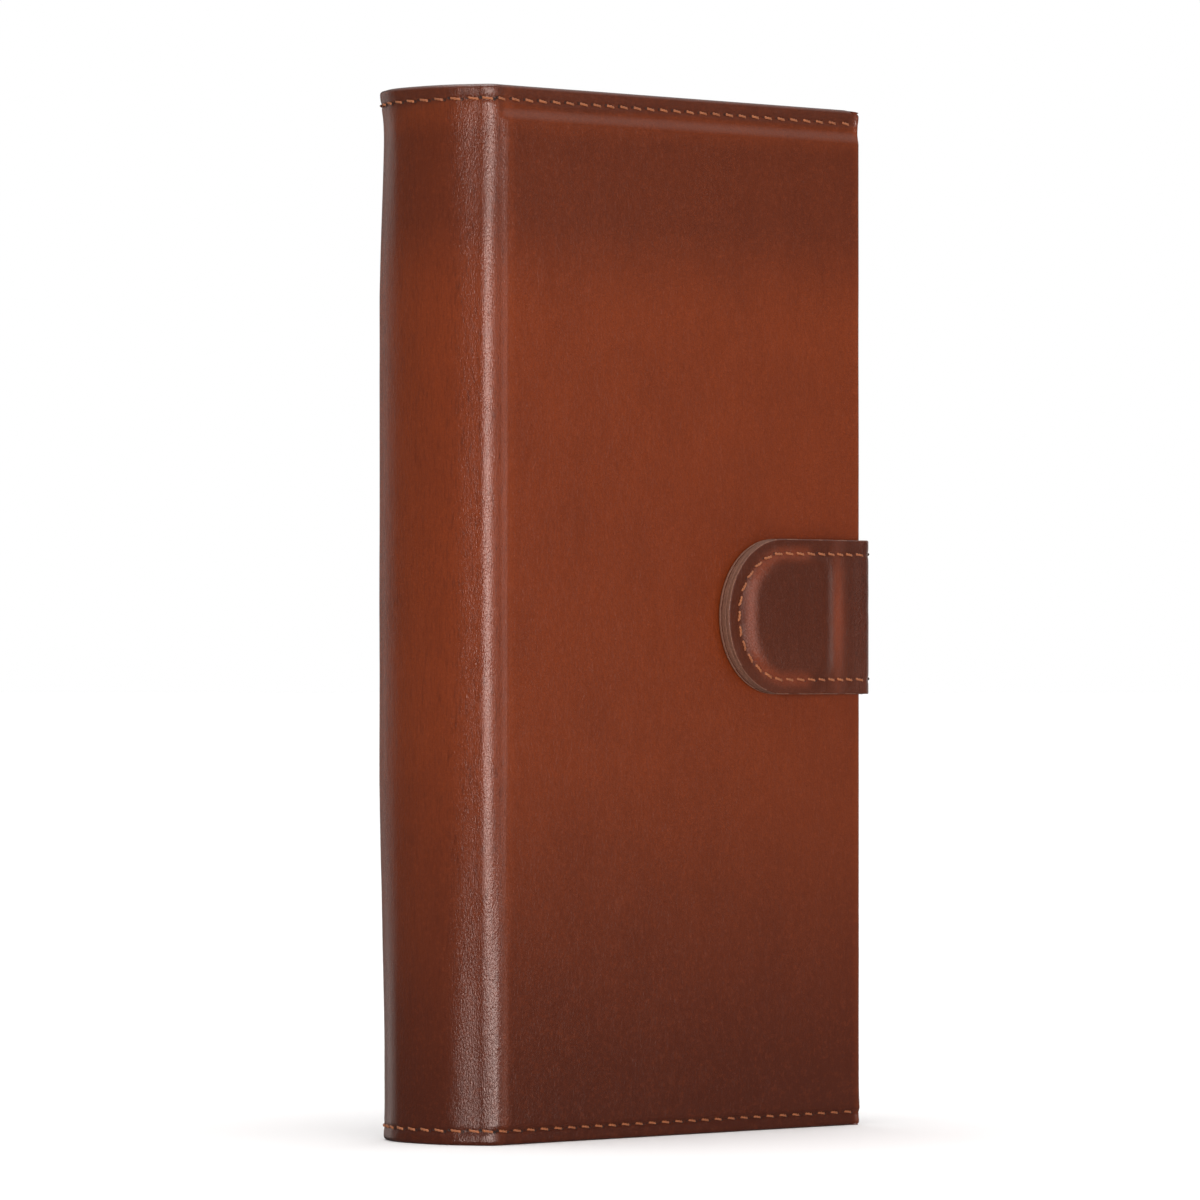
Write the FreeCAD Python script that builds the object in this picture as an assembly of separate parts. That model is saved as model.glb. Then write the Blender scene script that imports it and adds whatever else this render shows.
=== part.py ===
"""Phone wallet case: a stitched leather folio with a rounded spine, a magnetic strap and a lift-out shell.

Millimetres. +X is the free edge of the covers, -X the spine, -Y the front cover, +Y the back cover and +Z up.
The closed case stands on its bottom edge, and the origin is the middle of its outline on that surface.
"""

import FreeCAD, Part
import math
import os

V = FreeCAD.Vector

# ---- Case
HEIGHT = 168.0
WIDTH = 85.0                # from the spine's corner to the free edge
DEPTH = 27.0                # from the front face to the back face
SPINE_BULGE = 3.2           # how far the rounded spine stands out between its corners
CORNER_R = 3.0              # outer radius of the folds beside the spine
FOLD_WIDTH = 3.6            # from the spine's corner to where a cover stiffens
FOLD_GAP = 0.4              # between the bending leather and the firm cover
FOLD_ANGLE = 8.0            # degrees of the spine's arc that bend with each fold

# ---- Sheet thicknesses
LEATHER = 1.4
LINING = 0.6
BOARD = 1.0
PAD = 1.8
CARRIER = 1.8
STIFFENER = 0.5
FLAP = 0.9                  # the skived leather turned over at the hems
LINING_INSET = 0.8          # from the top and bottom edges to the lining
EDGE_R = 0.6                # rounding of the covers' free edges

# ---- Hems: the boards stop short of the top and bottom edges
TOP_HEM = 5.8
BOTTOM_HEM = 2.9
HEM_SEAM = 2.3              # from an edge to its line of stitches

# ---- Stitches
PITCH = 3.0
STITCH = 2.3
THREAD = 0.6
GROOVE_W = 0.8
CUT = 1.0                   # how far a cutter runs past the face that it opens
SLICE = 0.01                # thickness of the flat slices that the tab's rise is lofted between
CLEAR = 1.0                 # room left round the camera window in the felt
CLOSURE_R, CLOSURE_T = 3.0, 0.8     # corner radius and thickness of the closure plate
TAB_MAGNET_R, PLATE_R = 4.0, 4.0    # corner radii of the tab's magnet and the shell's plate
FELT_INSET, FELT_R_LESS = 3.0, 4.0  # how much smaller, and how much tighter in its corners, the felt is
GROOVE_D = 0.35
THREAD_D = 0.3

# ---- Strap and tab
STRAP_GAP = 0.15
STRAP_W = 25.4
STRAP_SKIN = 0.75
STRAP_LINING = 0.55
TAB_CORE = 1.1
TAB_REACH = 33.9            # from the covers' free edge to the tab's round end
TAB_FOLD_R = 2.0
TAB_CLEAR = 0.6             # between the bend and the flat of the tab
CORE_SET_BACK = 10.0        # from the free edge to where the tab's core begins
TAB_SEAM = 2.4
ROOT_END = 3.0              # length of the root that lies past the board
ANCHOR_L = 14.0
ANCHOR_SEAM = 2.0
ROOT_LENGTH = 1.5           # from the bend at the back cover to the flat of the strap
ROOT_BEND = 1.2             # how much of that length bends
MAGNET_W, MAGNET_H, MAGNET_T = 14.4, 16.8, 1.8
MAGNET_IN = 19.8            # from the free edge to the middle of the tab's magnet
BUMP_SLOPE = 1.2            # how far its leather slopes down round it
BUMP_CROWN = 0.4            # how far the flat top reaches past the magnet

# ---- Phone shell
PHONE_W, PHONE_H, PHONE_T = 76.0, 162.0, 8.0
SHELL_WALL = 1.2
SHELL_BACK = 1.4
SHELL_LIP = 1.2             # thickness of the lip in front of the phone
LIP_REACH = 1.0             # how far it reaches over the phone's edge
SHELL_R = 9.0
SHELL_SKIN = 0.8
SHELL_GAP = 0.15
FELT = 0.4
PLATE_W, PLATE_H, PLATE_T = 52.0, 84.0, 0.5
PLATE_Z = 62.0
CAMERA_W, CAMERA_H, CAMERA_R = 34.0, 40.0, 6.0
CAMERA_IN = 4.5             # from the phone's top and side to the camera window
PORT_W, CUT_H = 16.0, 5.0
SOUND_W, SOUND_H, SOUND_X = 12.0, 2.4, 20.0
KEYS_LOW, KEYS_HIGH = 18.0, 56.0    # the side keys' cut-out, above the middle

# ---- Magnets in the back cover
MAGNET_R, MAGNET_LEN = 6.0, 1.5
MAGNET_DX, MAGNET_DZ = 34.0, 30.0
MAGNET_ROWS = 3

# ---- Pockets
CASH_T, CASH_GAP = 0.7, 0.5
CARD_T, CARD_GAP = 0.7, 0.35
CARDS = 4
CARD_W = 64.0
CARD_TOP = 142.0            # top edge of the highest card pocket
CARD_STEP = 15.0
CARD_LENGTH = 80.0
CARD_HEM = 3.0
POCKET_SEAM = 1.5
THUMB_R, THUMB_DEPTH = 14.0, 4.0
POCKET_INSET = 2.0          # from the lining's flat part to the cash pocket

# ---- Derived places
LEFT, RIGHT = -WIDTH / 2, WIDTH / 2
FRONT, BACK = -DEPTH / 2, DEPTH / 2
SPINE_R = ((DEPTH / 2) ** 2 + SPINE_BULGE ** 2) / (2 * SPINE_BULGE)
SPINE_X = LEFT - SPINE_BULGE + SPINE_R          # the arc's centre, on Y = 0
BEND_X = SPINE_X - math.sqrt((SPINE_R - CORNER_R) ** 2 - (DEPTH / 2 - CORNER_R) ** 2)
BEND_Y = DEPTH / 2 - CORNER_R
BEND_ANGLE = math.degrees(math.atan2(BEND_Y, SPINE_X - BEND_X))
SPINE_ANGLE = BEND_ANGLE - FOLD_ANGLE           # half the angle of the arc that stays firm
SKIN = LEATHER + LINING
COVER_X = LEFT + FOLD_WIDTH
STRAP_T = STRAP_SKIN + STRAP_LINING
STRAP_X = RIGHT + STRAP_GAP
STRAP_Y = FRONT - STRAP_GAP
MID_Z = HEIGHT / 2
ROOT_FOLD_R = STRAP_GAP + STRAP_T               # the strap's tight bend at the back cover
ROOT_FOLD_Y = BACK - LEATHER - ROOT_FOLD_R
TAB_FOLD_X = STRAP_X + STRAP_T - TAB_FOLD_R
TAB_FOLD_Y = STRAP_Y - STRAP_T + TAB_FOLD_R
TAB_OUT = STRAP_GAP + STRAP_LINING + MAGNET_T + STRAP_SKIN
MAGNET_X = RIGHT - MAGNET_IN
SHELL_OUT_Y = BACK - LEATHER - BOARD - CARRIER - LINING - SHELL_GAP
SHELL_BACK_Y = SHELL_OUT_Y - SHELL_SKIN
PHONE_Y = SHELL_BACK_Y - SHELL_BACK             # the cavity's rear face
SHELL_FRONT_Y = PHONE_Y - PHONE_T - SHELL_LIP
SHELL_W, SHELL_H = PHONE_W + 2 * SHELL_WALL, PHONE_H + 2 * SHELL_WALL

# The outline of the closed case, which the origin is centred on
SHIFT = V((SPINE_BULGE - STRAP_GAP - STRAP_T) / 2, TAB_OUT / 2, 0)

os.makedirs("parts", exist_ok=True)
nodes = {}


def save(name, *shapes):
    """Keeps the solids of one node, moved to the case's own origin."""
    solids = []
    for shape in shapes:
        moved = shape.removeSplitter()
        moved.translate(SHIFT)
        solids += moved.Solids
    nodes[name] = solids[0] if len(solids) == 1 else Part.makeCompound(solids)


def block(x0, x1, y0, y1, z0, z1):
    low = V(min(x0, x1), min(y0, y1), min(z0, z1))
    return Part.makeBox(abs(x1 - x0), abs(y1 - y0), abs(z1 - z0), low)


def prism(points, direction):
    """A closed outline of straight edges, pushed along a direction."""
    wire = Part.makePolygon([V(*p) for p in points] + [V(*points[0])])
    return Part.Face(wire).extrude(direction)


def rounded_plate(width, height, radius, y0, y1, x=0.0, z=0.0):
    """A plate in the XZ plane with round corners, centred on x and z."""
    plate = block(x - width / 2, x + width / 2, y0, y1, z - height / 2, z + height / 2)
    upright = [e for e in plate.Edges if abs(e.tangentAt(e.FirstParameter).y) > 0.99]
    return plate.makeFillet(radius, upright)


def bullet_plate(reach, half, y0, y1, x_end):
    """The tab's outline: straight sides from x_end, and a round end at reach from the free edge."""
    centre = V(RIGHT - reach + half, y0, MID_Z)
    top, bottom = V(centre.x, y0, MID_Z + half), V(centre.x, y0, MID_Z - half)
    far = V(centre.x - half, y0, MID_Z)
    edges = [
        Part.Arc(top, far, bottom).toShape(),
        Part.makeLine(bottom, V(x_end, y0, MID_Z - half)),
        Part.makeLine(V(x_end, y0, MID_Z - half), V(x_end, y0, MID_Z + half)),
        Part.makeLine(V(x_end, y0, MID_Z + half), top),
    ]
    return Part.Face(Part.Wire(edges)).extrude(V(0, y1 - y0, 0))


def sector(cx, cy, r_in, r_out, a0, a1, z0, z1):
    """A curved sheet: part of a ring about (cx, cy) between two angles, in degrees from +X."""
    def at(r, a):
        return V(cx + r * math.cos(math.radians(a)), cy + r * math.sin(math.radians(a)), z0)
    middle = (a0 + a1) / 2
    edges = [
        Part.Arc(at(r_out, a0), at(r_out, middle), at(r_out, a1)).toShape(),
        Part.makeLine(at(r_out, a1), at(r_in, a1)),
        Part.Arc(at(r_in, a1), at(r_in, middle), at(r_in, a0)).toShape(),
        Part.makeLine(at(r_in, a0), at(r_out, a0)),
    ]
    return Part.Face(Part.Wire(edges)).extrude(V(0, 0, z1 - z0))


def spine_sheet(outer, inner, half, z0, z1):
    """A sheet of the spine between two depths under its outer face."""
    return sector(SPINE_X, 0, SPINE_R - inner, SPINE_R - outer, 180 - half, 180 + half, z0, z1)


def mirror_back(shape):
    """The same shape on the back cover's side."""
    return shape.mirror(V(0, 0, 0), V(0, 1, 0))


# ---- Stitching
def stitch_at(place, along, outward, length=STITCH):
    """One stitch, sunk in its groove: a short bar along a seam, just under the face it is sewn to."""
    side = along.cross(outward)
    corner = place - along * (length / 2) - side * (THREAD / 2) - outward * GROOVE_D
    faces = [corner, corner + along * length, corner + along * length + side * THREAD,
             corner + side * THREAD]
    return Part.Face(Part.makePolygon(faces + [faces[0]])).extrude(outward * THREAD_D)


def straight_seam(start, end, outward):
    """Stitches in a straight row, evenly spaced between two points."""
    span = end - start
    count = max(1, round(span.Length / PITCH))
    along = span / span.Length
    step = span.Length / count
    return [stitch_at(start + along * (step * (i + 0.5)), along, outward) for i in range(count)]


def cover_seams():
    """The two hem seams of a front cover, along X."""
    seams = []
    for z in (HEM_SEAM, HEIGHT - HEM_SEAM):
        seams += straight_seam(V(COVER_X, FRONT, z), V(RIGHT - EDGE_R, FRONT, z), V(0, -1, 0))
    return seams


def spine_seams():
    """The two hem seams of the spine, round its arc."""
    count = round(math.radians(2 * SPINE_ANGLE) * SPINE_R / PITCH)
    seams = []
    for z in (HEM_SEAM, HEIGHT - HEM_SEAM):
        for i in range(count):
            a = math.radians(180 - SPINE_ANGLE + 2 * SPINE_ANGLE * (i + 0.5) / count)
            outward = V(math.cos(a), math.sin(a), 0)
            place = V(SPINE_X, 0, z) + outward * SPINE_R
            seams.append(stitch_at(place, V(-math.sin(a), math.cos(a), 0), outward))
    return seams


def cover_grooves(y0, y1):
    half = GROOVE_W / 2
    return [block(COVER_X - CUT, RIGHT + CUT, y0, y1, z - half, z + half)
            for z in (HEM_SEAM, HEIGHT - HEM_SEAM)]


# ---- The three panels
def cover_leather():
    """A cover's outer leather: the face, the turned free edge and the two turned hems."""
    z_low, z_high = BOTTOM_HEM, HEIGHT - TOP_HEM
    wall = LEATHER + PAD + BOARD
    face = block(COVER_X, RIGHT, FRONT, FRONT + LEATHER, 0, HEIGHT)
    edge = block(RIGHT - LEATHER, RIGHT, FRONT, FRONT + wall, z_low, z_high)
    hem_y = FRONT + LEATHER + FLAP
    top = block(COVER_X, RIGHT, FRONT, hem_y, z_high + LINING, HEIGHT)
    bottom = block(COVER_X, RIGHT, FRONT, hem_y, 0, z_low - LINING)
    shape = face.fuse([edge, top, bottom]).removeSplitter()
    free = [e for e in shape.Edges if abs(e.tangentAt(e.FirstParameter).z) > 0.99
            and abs(e.CenterOfMass.x - RIGHT) < 1e-6 and abs(e.CenterOfMass.y - FRONT) < 1e-6]
    shape = shape.makeFillet(EDGE_R, free)
    return shape.cut(cover_grooves(FRONT - 1, FRONT + GROOVE_D))


def cover_lining(depth):
    """The inner leather, dished so that its rim meets the turned hems."""
    inner, outer = FRONT + depth + LINING, FRONT + depth
    rim = FRONT + LEATHER + FLAP
    low, high = BOTTOM_HEM, HEIGHT - TOP_HEM
    outline = [
        (COVER_X, rim, LINING_INSET), (COVER_X, rim + LINING, LINING_INSET),
        (COVER_X, rim + LINING, low - LINING),
        (COVER_X, inner, low - LINING), (COVER_X, inner, high + LINING),
        (COVER_X, rim + LINING, high + LINING), (COVER_X, rim + LINING, HEIGHT - LINING_INSET),
        (COVER_X, rim, HEIGHT - LINING_INSET), (COVER_X, rim, high), (COVER_X, outer, high),
        (COVER_X, outer, low), (COVER_X, rim, low),
    ]
    return prism(outline, V(RIGHT - EDGE_R - COVER_X, 0, 0))


def cover_board(y0, y1):
    return block(COVER_X, RIGHT - LEATHER, y0, y1, BOTTOM_HEM, HEIGHT - TOP_HEM)


def build_front_cover():
    pad_y = FRONT + LEATHER
    board_y = pad_y + PAD
    plate = rounded_plate(MAGNET_W, MAGNET_H, CLOSURE_R, pad_y, pad_y + CLOSURE_T, MAGNET_X, MID_Z)
    save("front_cover_leather", cover_leather())
    save("closure_plate", plate)
    save("front_cover_pad", cover_board(pad_y, board_y).cut(plate))
    save("front_cover_board", cover_board(board_y, board_y + BOARD))
    save("front_cover_lining", cover_lining(LEATHER + PAD + BOARD))
    save("front_cover_stitching", *cover_seams())


def build_back_cover():
    board_y = BACK - LEATHER
    carrier_y = board_y - BOARD
    lining_y = carrier_y - CARRIER
    notch = block(RIGHT - ANCHOR_L, RIGHT + CUT, board_y - STRAP_T, board_y,
                  MID_Z - STRAP_W / 2, MID_Z + STRAP_W / 2)
    leather = mirror_back(cover_leather()).cut(
        block(RIGHT - ROOT_END, RIGHT + CUT, board_y - STRAP_T, board_y,
              MID_Z - STRAP_W / 2, MID_Z + STRAP_W / 2))
    box_seams = anchor_seams()
    save("back_cover_leather", leather.cut(anchor_grooves()))
    board = mirror_back(cover_board(FRONT + LEATHER, FRONT + LEATHER + BOARD))
    save("back_cover_board", board.cut(notch))
    magnets = [
        Part.makeCylinder(MAGNET_R, MAGNET_LEN, V(dx, carrier_y, PLATE_Z + dz), V(0, -1, 0))
        for dx in (-MAGNET_DX / 2, MAGNET_DX / 2)
        for dz in (MAGNET_DZ * (i - (MAGNET_ROWS - 1) / 2) for i in range(MAGNET_ROWS))
    ]
    carrier = block(COVER_X, RIGHT - LEATHER, carrier_y, lining_y, BOTTOM_HEM, HEIGHT - TOP_HEM)
    save("magnet_carrier", carrier.cut(magnets + [notch]))
    save("holding_magnets", *magnets)
    save("back_cover_lining", mirror_back(cover_lining(LEATHER + BOARD + CARRIER)))
    save("back_cover_stitching", *[mirror_back(s) for s in cover_seams()])
    anchor = block(RIGHT - ANCHOR_L, RIGHT, board_y - STRAP_T, board_y,
                   MID_Z - STRAP_W / 2, MID_Z + STRAP_W / 2)
    save("strap_anchor", anchor)
    save("strap_anchor_stitching", *box_seams)


def anchor_corners():
    """The box of stitches that holds the strap under the back cover's leather."""
    x0, x1 = RIGHT - ANCHOR_L + ANCHOR_SEAM, RIGHT - ANCHOR_SEAM
    z0, z1 = MID_Z - STRAP_W / 2 + ANCHOR_SEAM, MID_Z + STRAP_W / 2 - ANCHOR_SEAM
    return [V(x0, BACK, z0), V(x1, BACK, z0), V(x1, BACK, z1), V(x0, BACK, z1)]


def anchor_seams():
    corners = anchor_corners()
    seams = []
    for start, end in zip(corners, corners[1:] + corners[:1]):
        along = (end - start) / (end - start).Length
        seams += straight_seam(start + along * THREAD, end - along * THREAD, V(0, 1, 0))
    return seams


def anchor_grooves():
    a, _, c, _ = anchor_corners()
    half = GROOVE_W / 2
    outer = block(a.x - half, c.x + half, BACK - GROOVE_D, BACK + CUT, a.z - half, c.z + half)
    inner = block(a.x + half, c.x - half, BACK - GROOVE_D - CUT, BACK + 2 * CUT, a.z + half, c.z - half)
    return outer.cut(inner)


def build_spine():
    low, high = BOTTOM_HEM, HEIGHT - TOP_HEM
    face = spine_sheet(0, LEATHER, SPINE_ANGLE, 0, HEIGHT)
    hems = [spine_sheet(LEATHER / 2, LEATHER + STIFFENER, SPINE_ANGLE, z0, z1)
            for z0, z1 in ((0, low), (high, HEIGHT))]
    grooves = [spine_sheet(-1, GROOVE_D, SPINE_ANGLE + 1, z - GROOVE_W / 2, z + GROOVE_W / 2)
               for z in (HEM_SEAM, HEIGHT - HEM_SEAM)]
    save("spine_leather", face.fuse(hems).cut(grooves))
    save("spine_stiffener", spine_sheet(LEATHER, LEATHER + STIFFENER, SPINE_ANGLE, low, high))
    save("spine_lining", spine_sheet(LEATHER + STIFFENER, SKIN + STIFFENER, SPINE_ANGLE,
                                     LINING_INSET, HEIGHT - LINING_INSET))
    save("spine_stitching", *spine_seams())


def build_folds():
    """The leather that bends between the covers and the spine, as it lies when the case is shut."""
    bend = 180 + BEND_ANGLE
    firm = 180 + SPINE_ANGLE

    def fold(outer, inner, z0, z1):
        flat = block(BEND_X, COVER_X - FOLD_GAP, FRONT + outer, FRONT + inner, z0, z1)
        turn = sector(BEND_X, -BEND_Y, CORNER_R - inner, CORNER_R - outer, bend, 270, z0, z1)
        side = sector(SPINE_X, 0, SPINE_R - inner, SPINE_R - outer, firm, bend, z0, z1)
        return flat.fuse([turn, side]).removeSplitter()

    leather = fold(0, LEATHER, 0, HEIGHT)
    lining = fold(LEATHER, SKIN, LINING_INSET, HEIGHT - LINING_INSET)
    save("front_fold_leather", leather)
    save("front_fold_lining", lining)
    save("rear_fold_leather", mirror_back(leather))
    save("rear_fold_lining", mirror_back(lining))


# ---- Pockets inside the front cover
def thumb_cut(x, z_top, y0, y1):
    """The shallow curve that is cut from a pocket's open edge for a thumb."""
    centre_z = z_top - THUMB_DEPTH + THUMB_R
    return Part.makeCylinder(THUMB_R, abs(y1 - y0) + 2 * CUT, V(x, min(y0, y1) - CUT, centre_z), V(0, 1, 0))


def build_pockets():
    lining_y = FRONT + LEATHER + PAD + BOARD + LINING
    cash_y = lining_y + CASH_GAP
    x0, x1 = COVER_X + 0.4, RIGHT - 2.4
    z0, z1 = BOTTOM_HEM + POCKET_INSET, HEIGHT - TOP_HEM - POCKET_INSET
    panel = block(x0, x1, cash_y, cash_y + CASH_T, z0, z1)
    hems = [block(x0, x1, lining_y, cash_y, z, z + CARD_HEM) for z in (z0, z1 - CARD_HEM)]
    hems.append(block(x1 - CARD_HEM, x1, lining_y, cash_y, z0 + CARD_HEM, z1 - CARD_HEM))
    save("cash_pocket", panel, *hems)

    seams = straight_seam(V(x0, cash_y + CASH_T + GROOVE_D, z0 + POCKET_SEAM),
                          V(x1, cash_y + CASH_T + GROOVE_D, z0 + POCKET_SEAM), V(0, 1, 0))
    seams += straight_seam(V(x0, cash_y + CASH_T + GROOVE_D, z1 - POCKET_SEAM),
                           V(x1, cash_y + CASH_T + GROOVE_D, z1 - POCKET_SEAM), V(0, 1, 0))
    middle = (x0 + x1) / 2
    left, right = middle - CARD_W / 2, middle + CARD_W / 2
    for i in range(CARDS):
        y0 = cash_y + CASH_T + i * (CARD_T + CARD_GAP)
        y1 = y0 + CARD_GAP
        top = CARD_TOP - i * CARD_STEP
        low = top - CARD_LENGTH
        face = block(left, right, y1, y1 + CARD_T, low, top)
        face = face.cut(thumb_cut(middle, top, y1, y1 + CARD_T))
        sides = [block(x, x + CARD_HEM, y0, y1, low, top) for x in (left, right - CARD_HEM)]
        foot = block(left + CARD_HEM, right - CARD_HEM, y0, y1, low, low + CARD_HEM)
        save(f"card_pocket_{i + 1}", face, foot, *sides)
    front_y = cash_y + CASH_T + CARDS * (CARD_T + CARD_GAP) + GROOVE_D
    top, low = CARD_TOP - (CARDS - 1) * CARD_STEP, CARD_TOP - (CARDS - 1) * CARD_STEP - CARD_LENGTH
    for x in (left + POCKET_SEAM, right - POCKET_SEAM):
        seams += straight_seam(V(x, front_y, low + PITCH), V(x, front_y, top), V(0, 1, 0))
    seams += straight_seam(V(left + PITCH, front_y, low + POCKET_SEAM),
                           V(right - PITCH, front_y, low + POCKET_SEAM), V(0, 1, 0))
    save("pocket_stitching", *seams)


# ---- Strap
def strap_seam_z():
    return (MID_Z - STRAP_W / 2 + TAB_SEAM, MID_Z + STRAP_W / 2 - TAB_SEAM)


def build_strap():
    z0, z1 = MID_Z - STRAP_W / 2, MID_Z + STRAP_W / 2
    y_front, y_back = TAB_FOLD_Y + ROOT_LENGTH, ROOT_FOLD_Y - ROOT_LENGTH
    skin_x = STRAP_X + STRAP_LINING
    outer_x = skin_x + STRAP_SKIN
    lining = block(STRAP_X, skin_x, y_front, y_back, z0, z1)
    skin = block(skin_x, outer_x, y_front, y_back, z0, z1)
    half = GROOVE_W / 2
    grooves = [block(outer_x - GROOVE_D, outer_x + CUT, y_front - CUT, y_back + CUT, z - half, z + half)
               for z in strap_seam_z()]
    seams = []
    for z in strap_seam_z():
        seams += straight_seam(V(outer_x, y_front, z), V(outer_x, y_back, z), V(1, 0, 0))
    save("strap_leather", skin.cut(grooves))
    save("strap_lining", lining)
    save("strap_stitching", *seams)

    # The two bends are leather that changes shape: one at the back cover, one over the front edge.
    root_inner, root_mid = STRAP_GAP, STRAP_GAP + STRAP_LINING
    root = [
        sector(RIGHT, ROOT_FOLD_Y, a, b, 0, 90, z0, z1).fuse(
            block(RIGHT + a, RIGHT + b, ROOT_FOLD_Y - ROOT_BEND, ROOT_FOLD_Y, z0, z1))
        for a, b in ((root_inner, root_mid), (root_mid, ROOT_FOLD_R))
    ]
    save("strap_root_fold", *root)
    mid_r = TAB_FOLD_R - STRAP_SKIN
    inner_r = mid_r - STRAP_LINING
    front = [
        sector(TAB_FOLD_X, TAB_FOLD_Y, a, b, 270, 360, z0, z1).fuse(
            block(TAB_FOLD_X + a, TAB_FOLD_X + b, TAB_FOLD_Y, y_front, z0, z1))
        for a, b in ((inner_r, mid_r), (mid_r, TAB_FOLD_R))
    ]
    save("strap_front_fold", *front)


def tab_magnet(grow, y0, y1):
    """The magnet's rounded plate, grown on every side by a margin."""
    return rounded_plate(MAGNET_W + 2 * grow, MAGNET_H + 2 * grow, TAB_MAGNET_R + grow, y0, y1,
                         MAGNET_X, MID_Z)


def tab_bump(y_low, rise):
    """The raised leather over the magnet, with sloping sides."""
    base = tab_magnet(BUMP_SLOPE, y_low, y_low - SLICE).Faces
    crown = tab_magnet(BUMP_CROWN, y_low - rise, y_low - rise - SLICE).Faces
    low = max(base, key=lambda f: (f.Area, -f.CenterOfMass.y)).OuterWire
    high = max(crown, key=lambda f: (f.Area, f.CenterOfMass.y)).OuterWire
    return Part.makeLoft([low, high], True)


def build_tab():
    half = STRAP_W / 2
    lining_y = STRAP_Y - STRAP_LINING
    core_y = lining_y - TAB_CORE
    magnet_y = lining_y - MAGNET_T
    x_end, x_core = TAB_FOLD_X - TAB_CLEAR, RIGHT - CORE_SET_BACK
    magnet = tab_magnet(0, lining_y, magnet_y)
    save("tab_magnet", magnet)
    save("tab_lining", bullet_plate(TAB_REACH, half, STRAP_Y, lining_y, x_end))
    save("tab_core", bullet_plate(TAB_REACH, half, lining_y, core_y, x_core).cut(magnet))

    # The outer leather lies on the lining beside the fold, and steps up over the core.
    x_step = x_core + 2 * TAB_CORE
    side = [(x_end, lining_y), (x_end, lining_y - STRAP_SKIN), (x_step, lining_y - STRAP_SKIN),
            (x_core, core_y - STRAP_SKIN), (RIGHT - TAB_REACH, core_y - STRAP_SKIN),
            (RIGHT - TAB_REACH, core_y), (x_core, core_y), (x_core, lining_y)]
    sheet = prism([(x, y, MID_Z - half) for x, y in side], V(0, 0, STRAP_W))
    outline = bullet_plate(TAB_REACH, half, lining_y + 1, magnet_y - 3, x_end)
    skin = sheet.common(outline)
    skin = skin.fuse(tab_bump(core_y - STRAP_SKIN, MAGNET_T - TAB_CORE)).cut(magnet)
    save("tab_leather", skin)
    save("tab_stitching", *tab_seams())


def tab_face_y(x):
    """The tab's outer face: level over the core, sloping down past it, then level on the lining."""
    x_core = RIGHT - CORE_SET_BACK
    drop = min(max((x - x_core) / 2, 0), TAB_CORE)
    return STRAP_Y - STRAP_LINING - TAB_CORE - STRAP_SKIN + drop


def tab_seams():
    """A row of stitches that follows the tab's outline, inside its edge."""
    radius = STRAP_W / 2 - TAB_SEAM
    x_round = RIGHT - TAB_REACH + STRAP_W / 2
    x_end = TAB_FOLD_X - TAB_CLEAR
    face = GROOVE_D
    seams = []
    for z in (MID_Z - radius, MID_Z + radius):
        for x0, x1 in ((x_round, RIGHT - CORE_SET_BACK), (RIGHT - CORE_SET_BACK + 2 * TAB_CORE, x_end)):
            y = tab_face_y(x1) - face
            seams += straight_seam(V(x0, y, z), V(x1, y, z), V(0, -1, 0))
    count = round(math.pi * radius / PITCH)
    for i in range(count):
        a = math.pi / 2 + math.pi * (i + 0.5) / count
        place = V(x_round + math.cos(a) * radius, tab_face_y(x_round) - face, MID_Z + math.sin(a) * radius)
        seams.append(stitch_at(place, V(-math.sin(a), 0, math.cos(a)), V(0, -1, 0), STITCH - THREAD / 2))
    return seams


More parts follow.
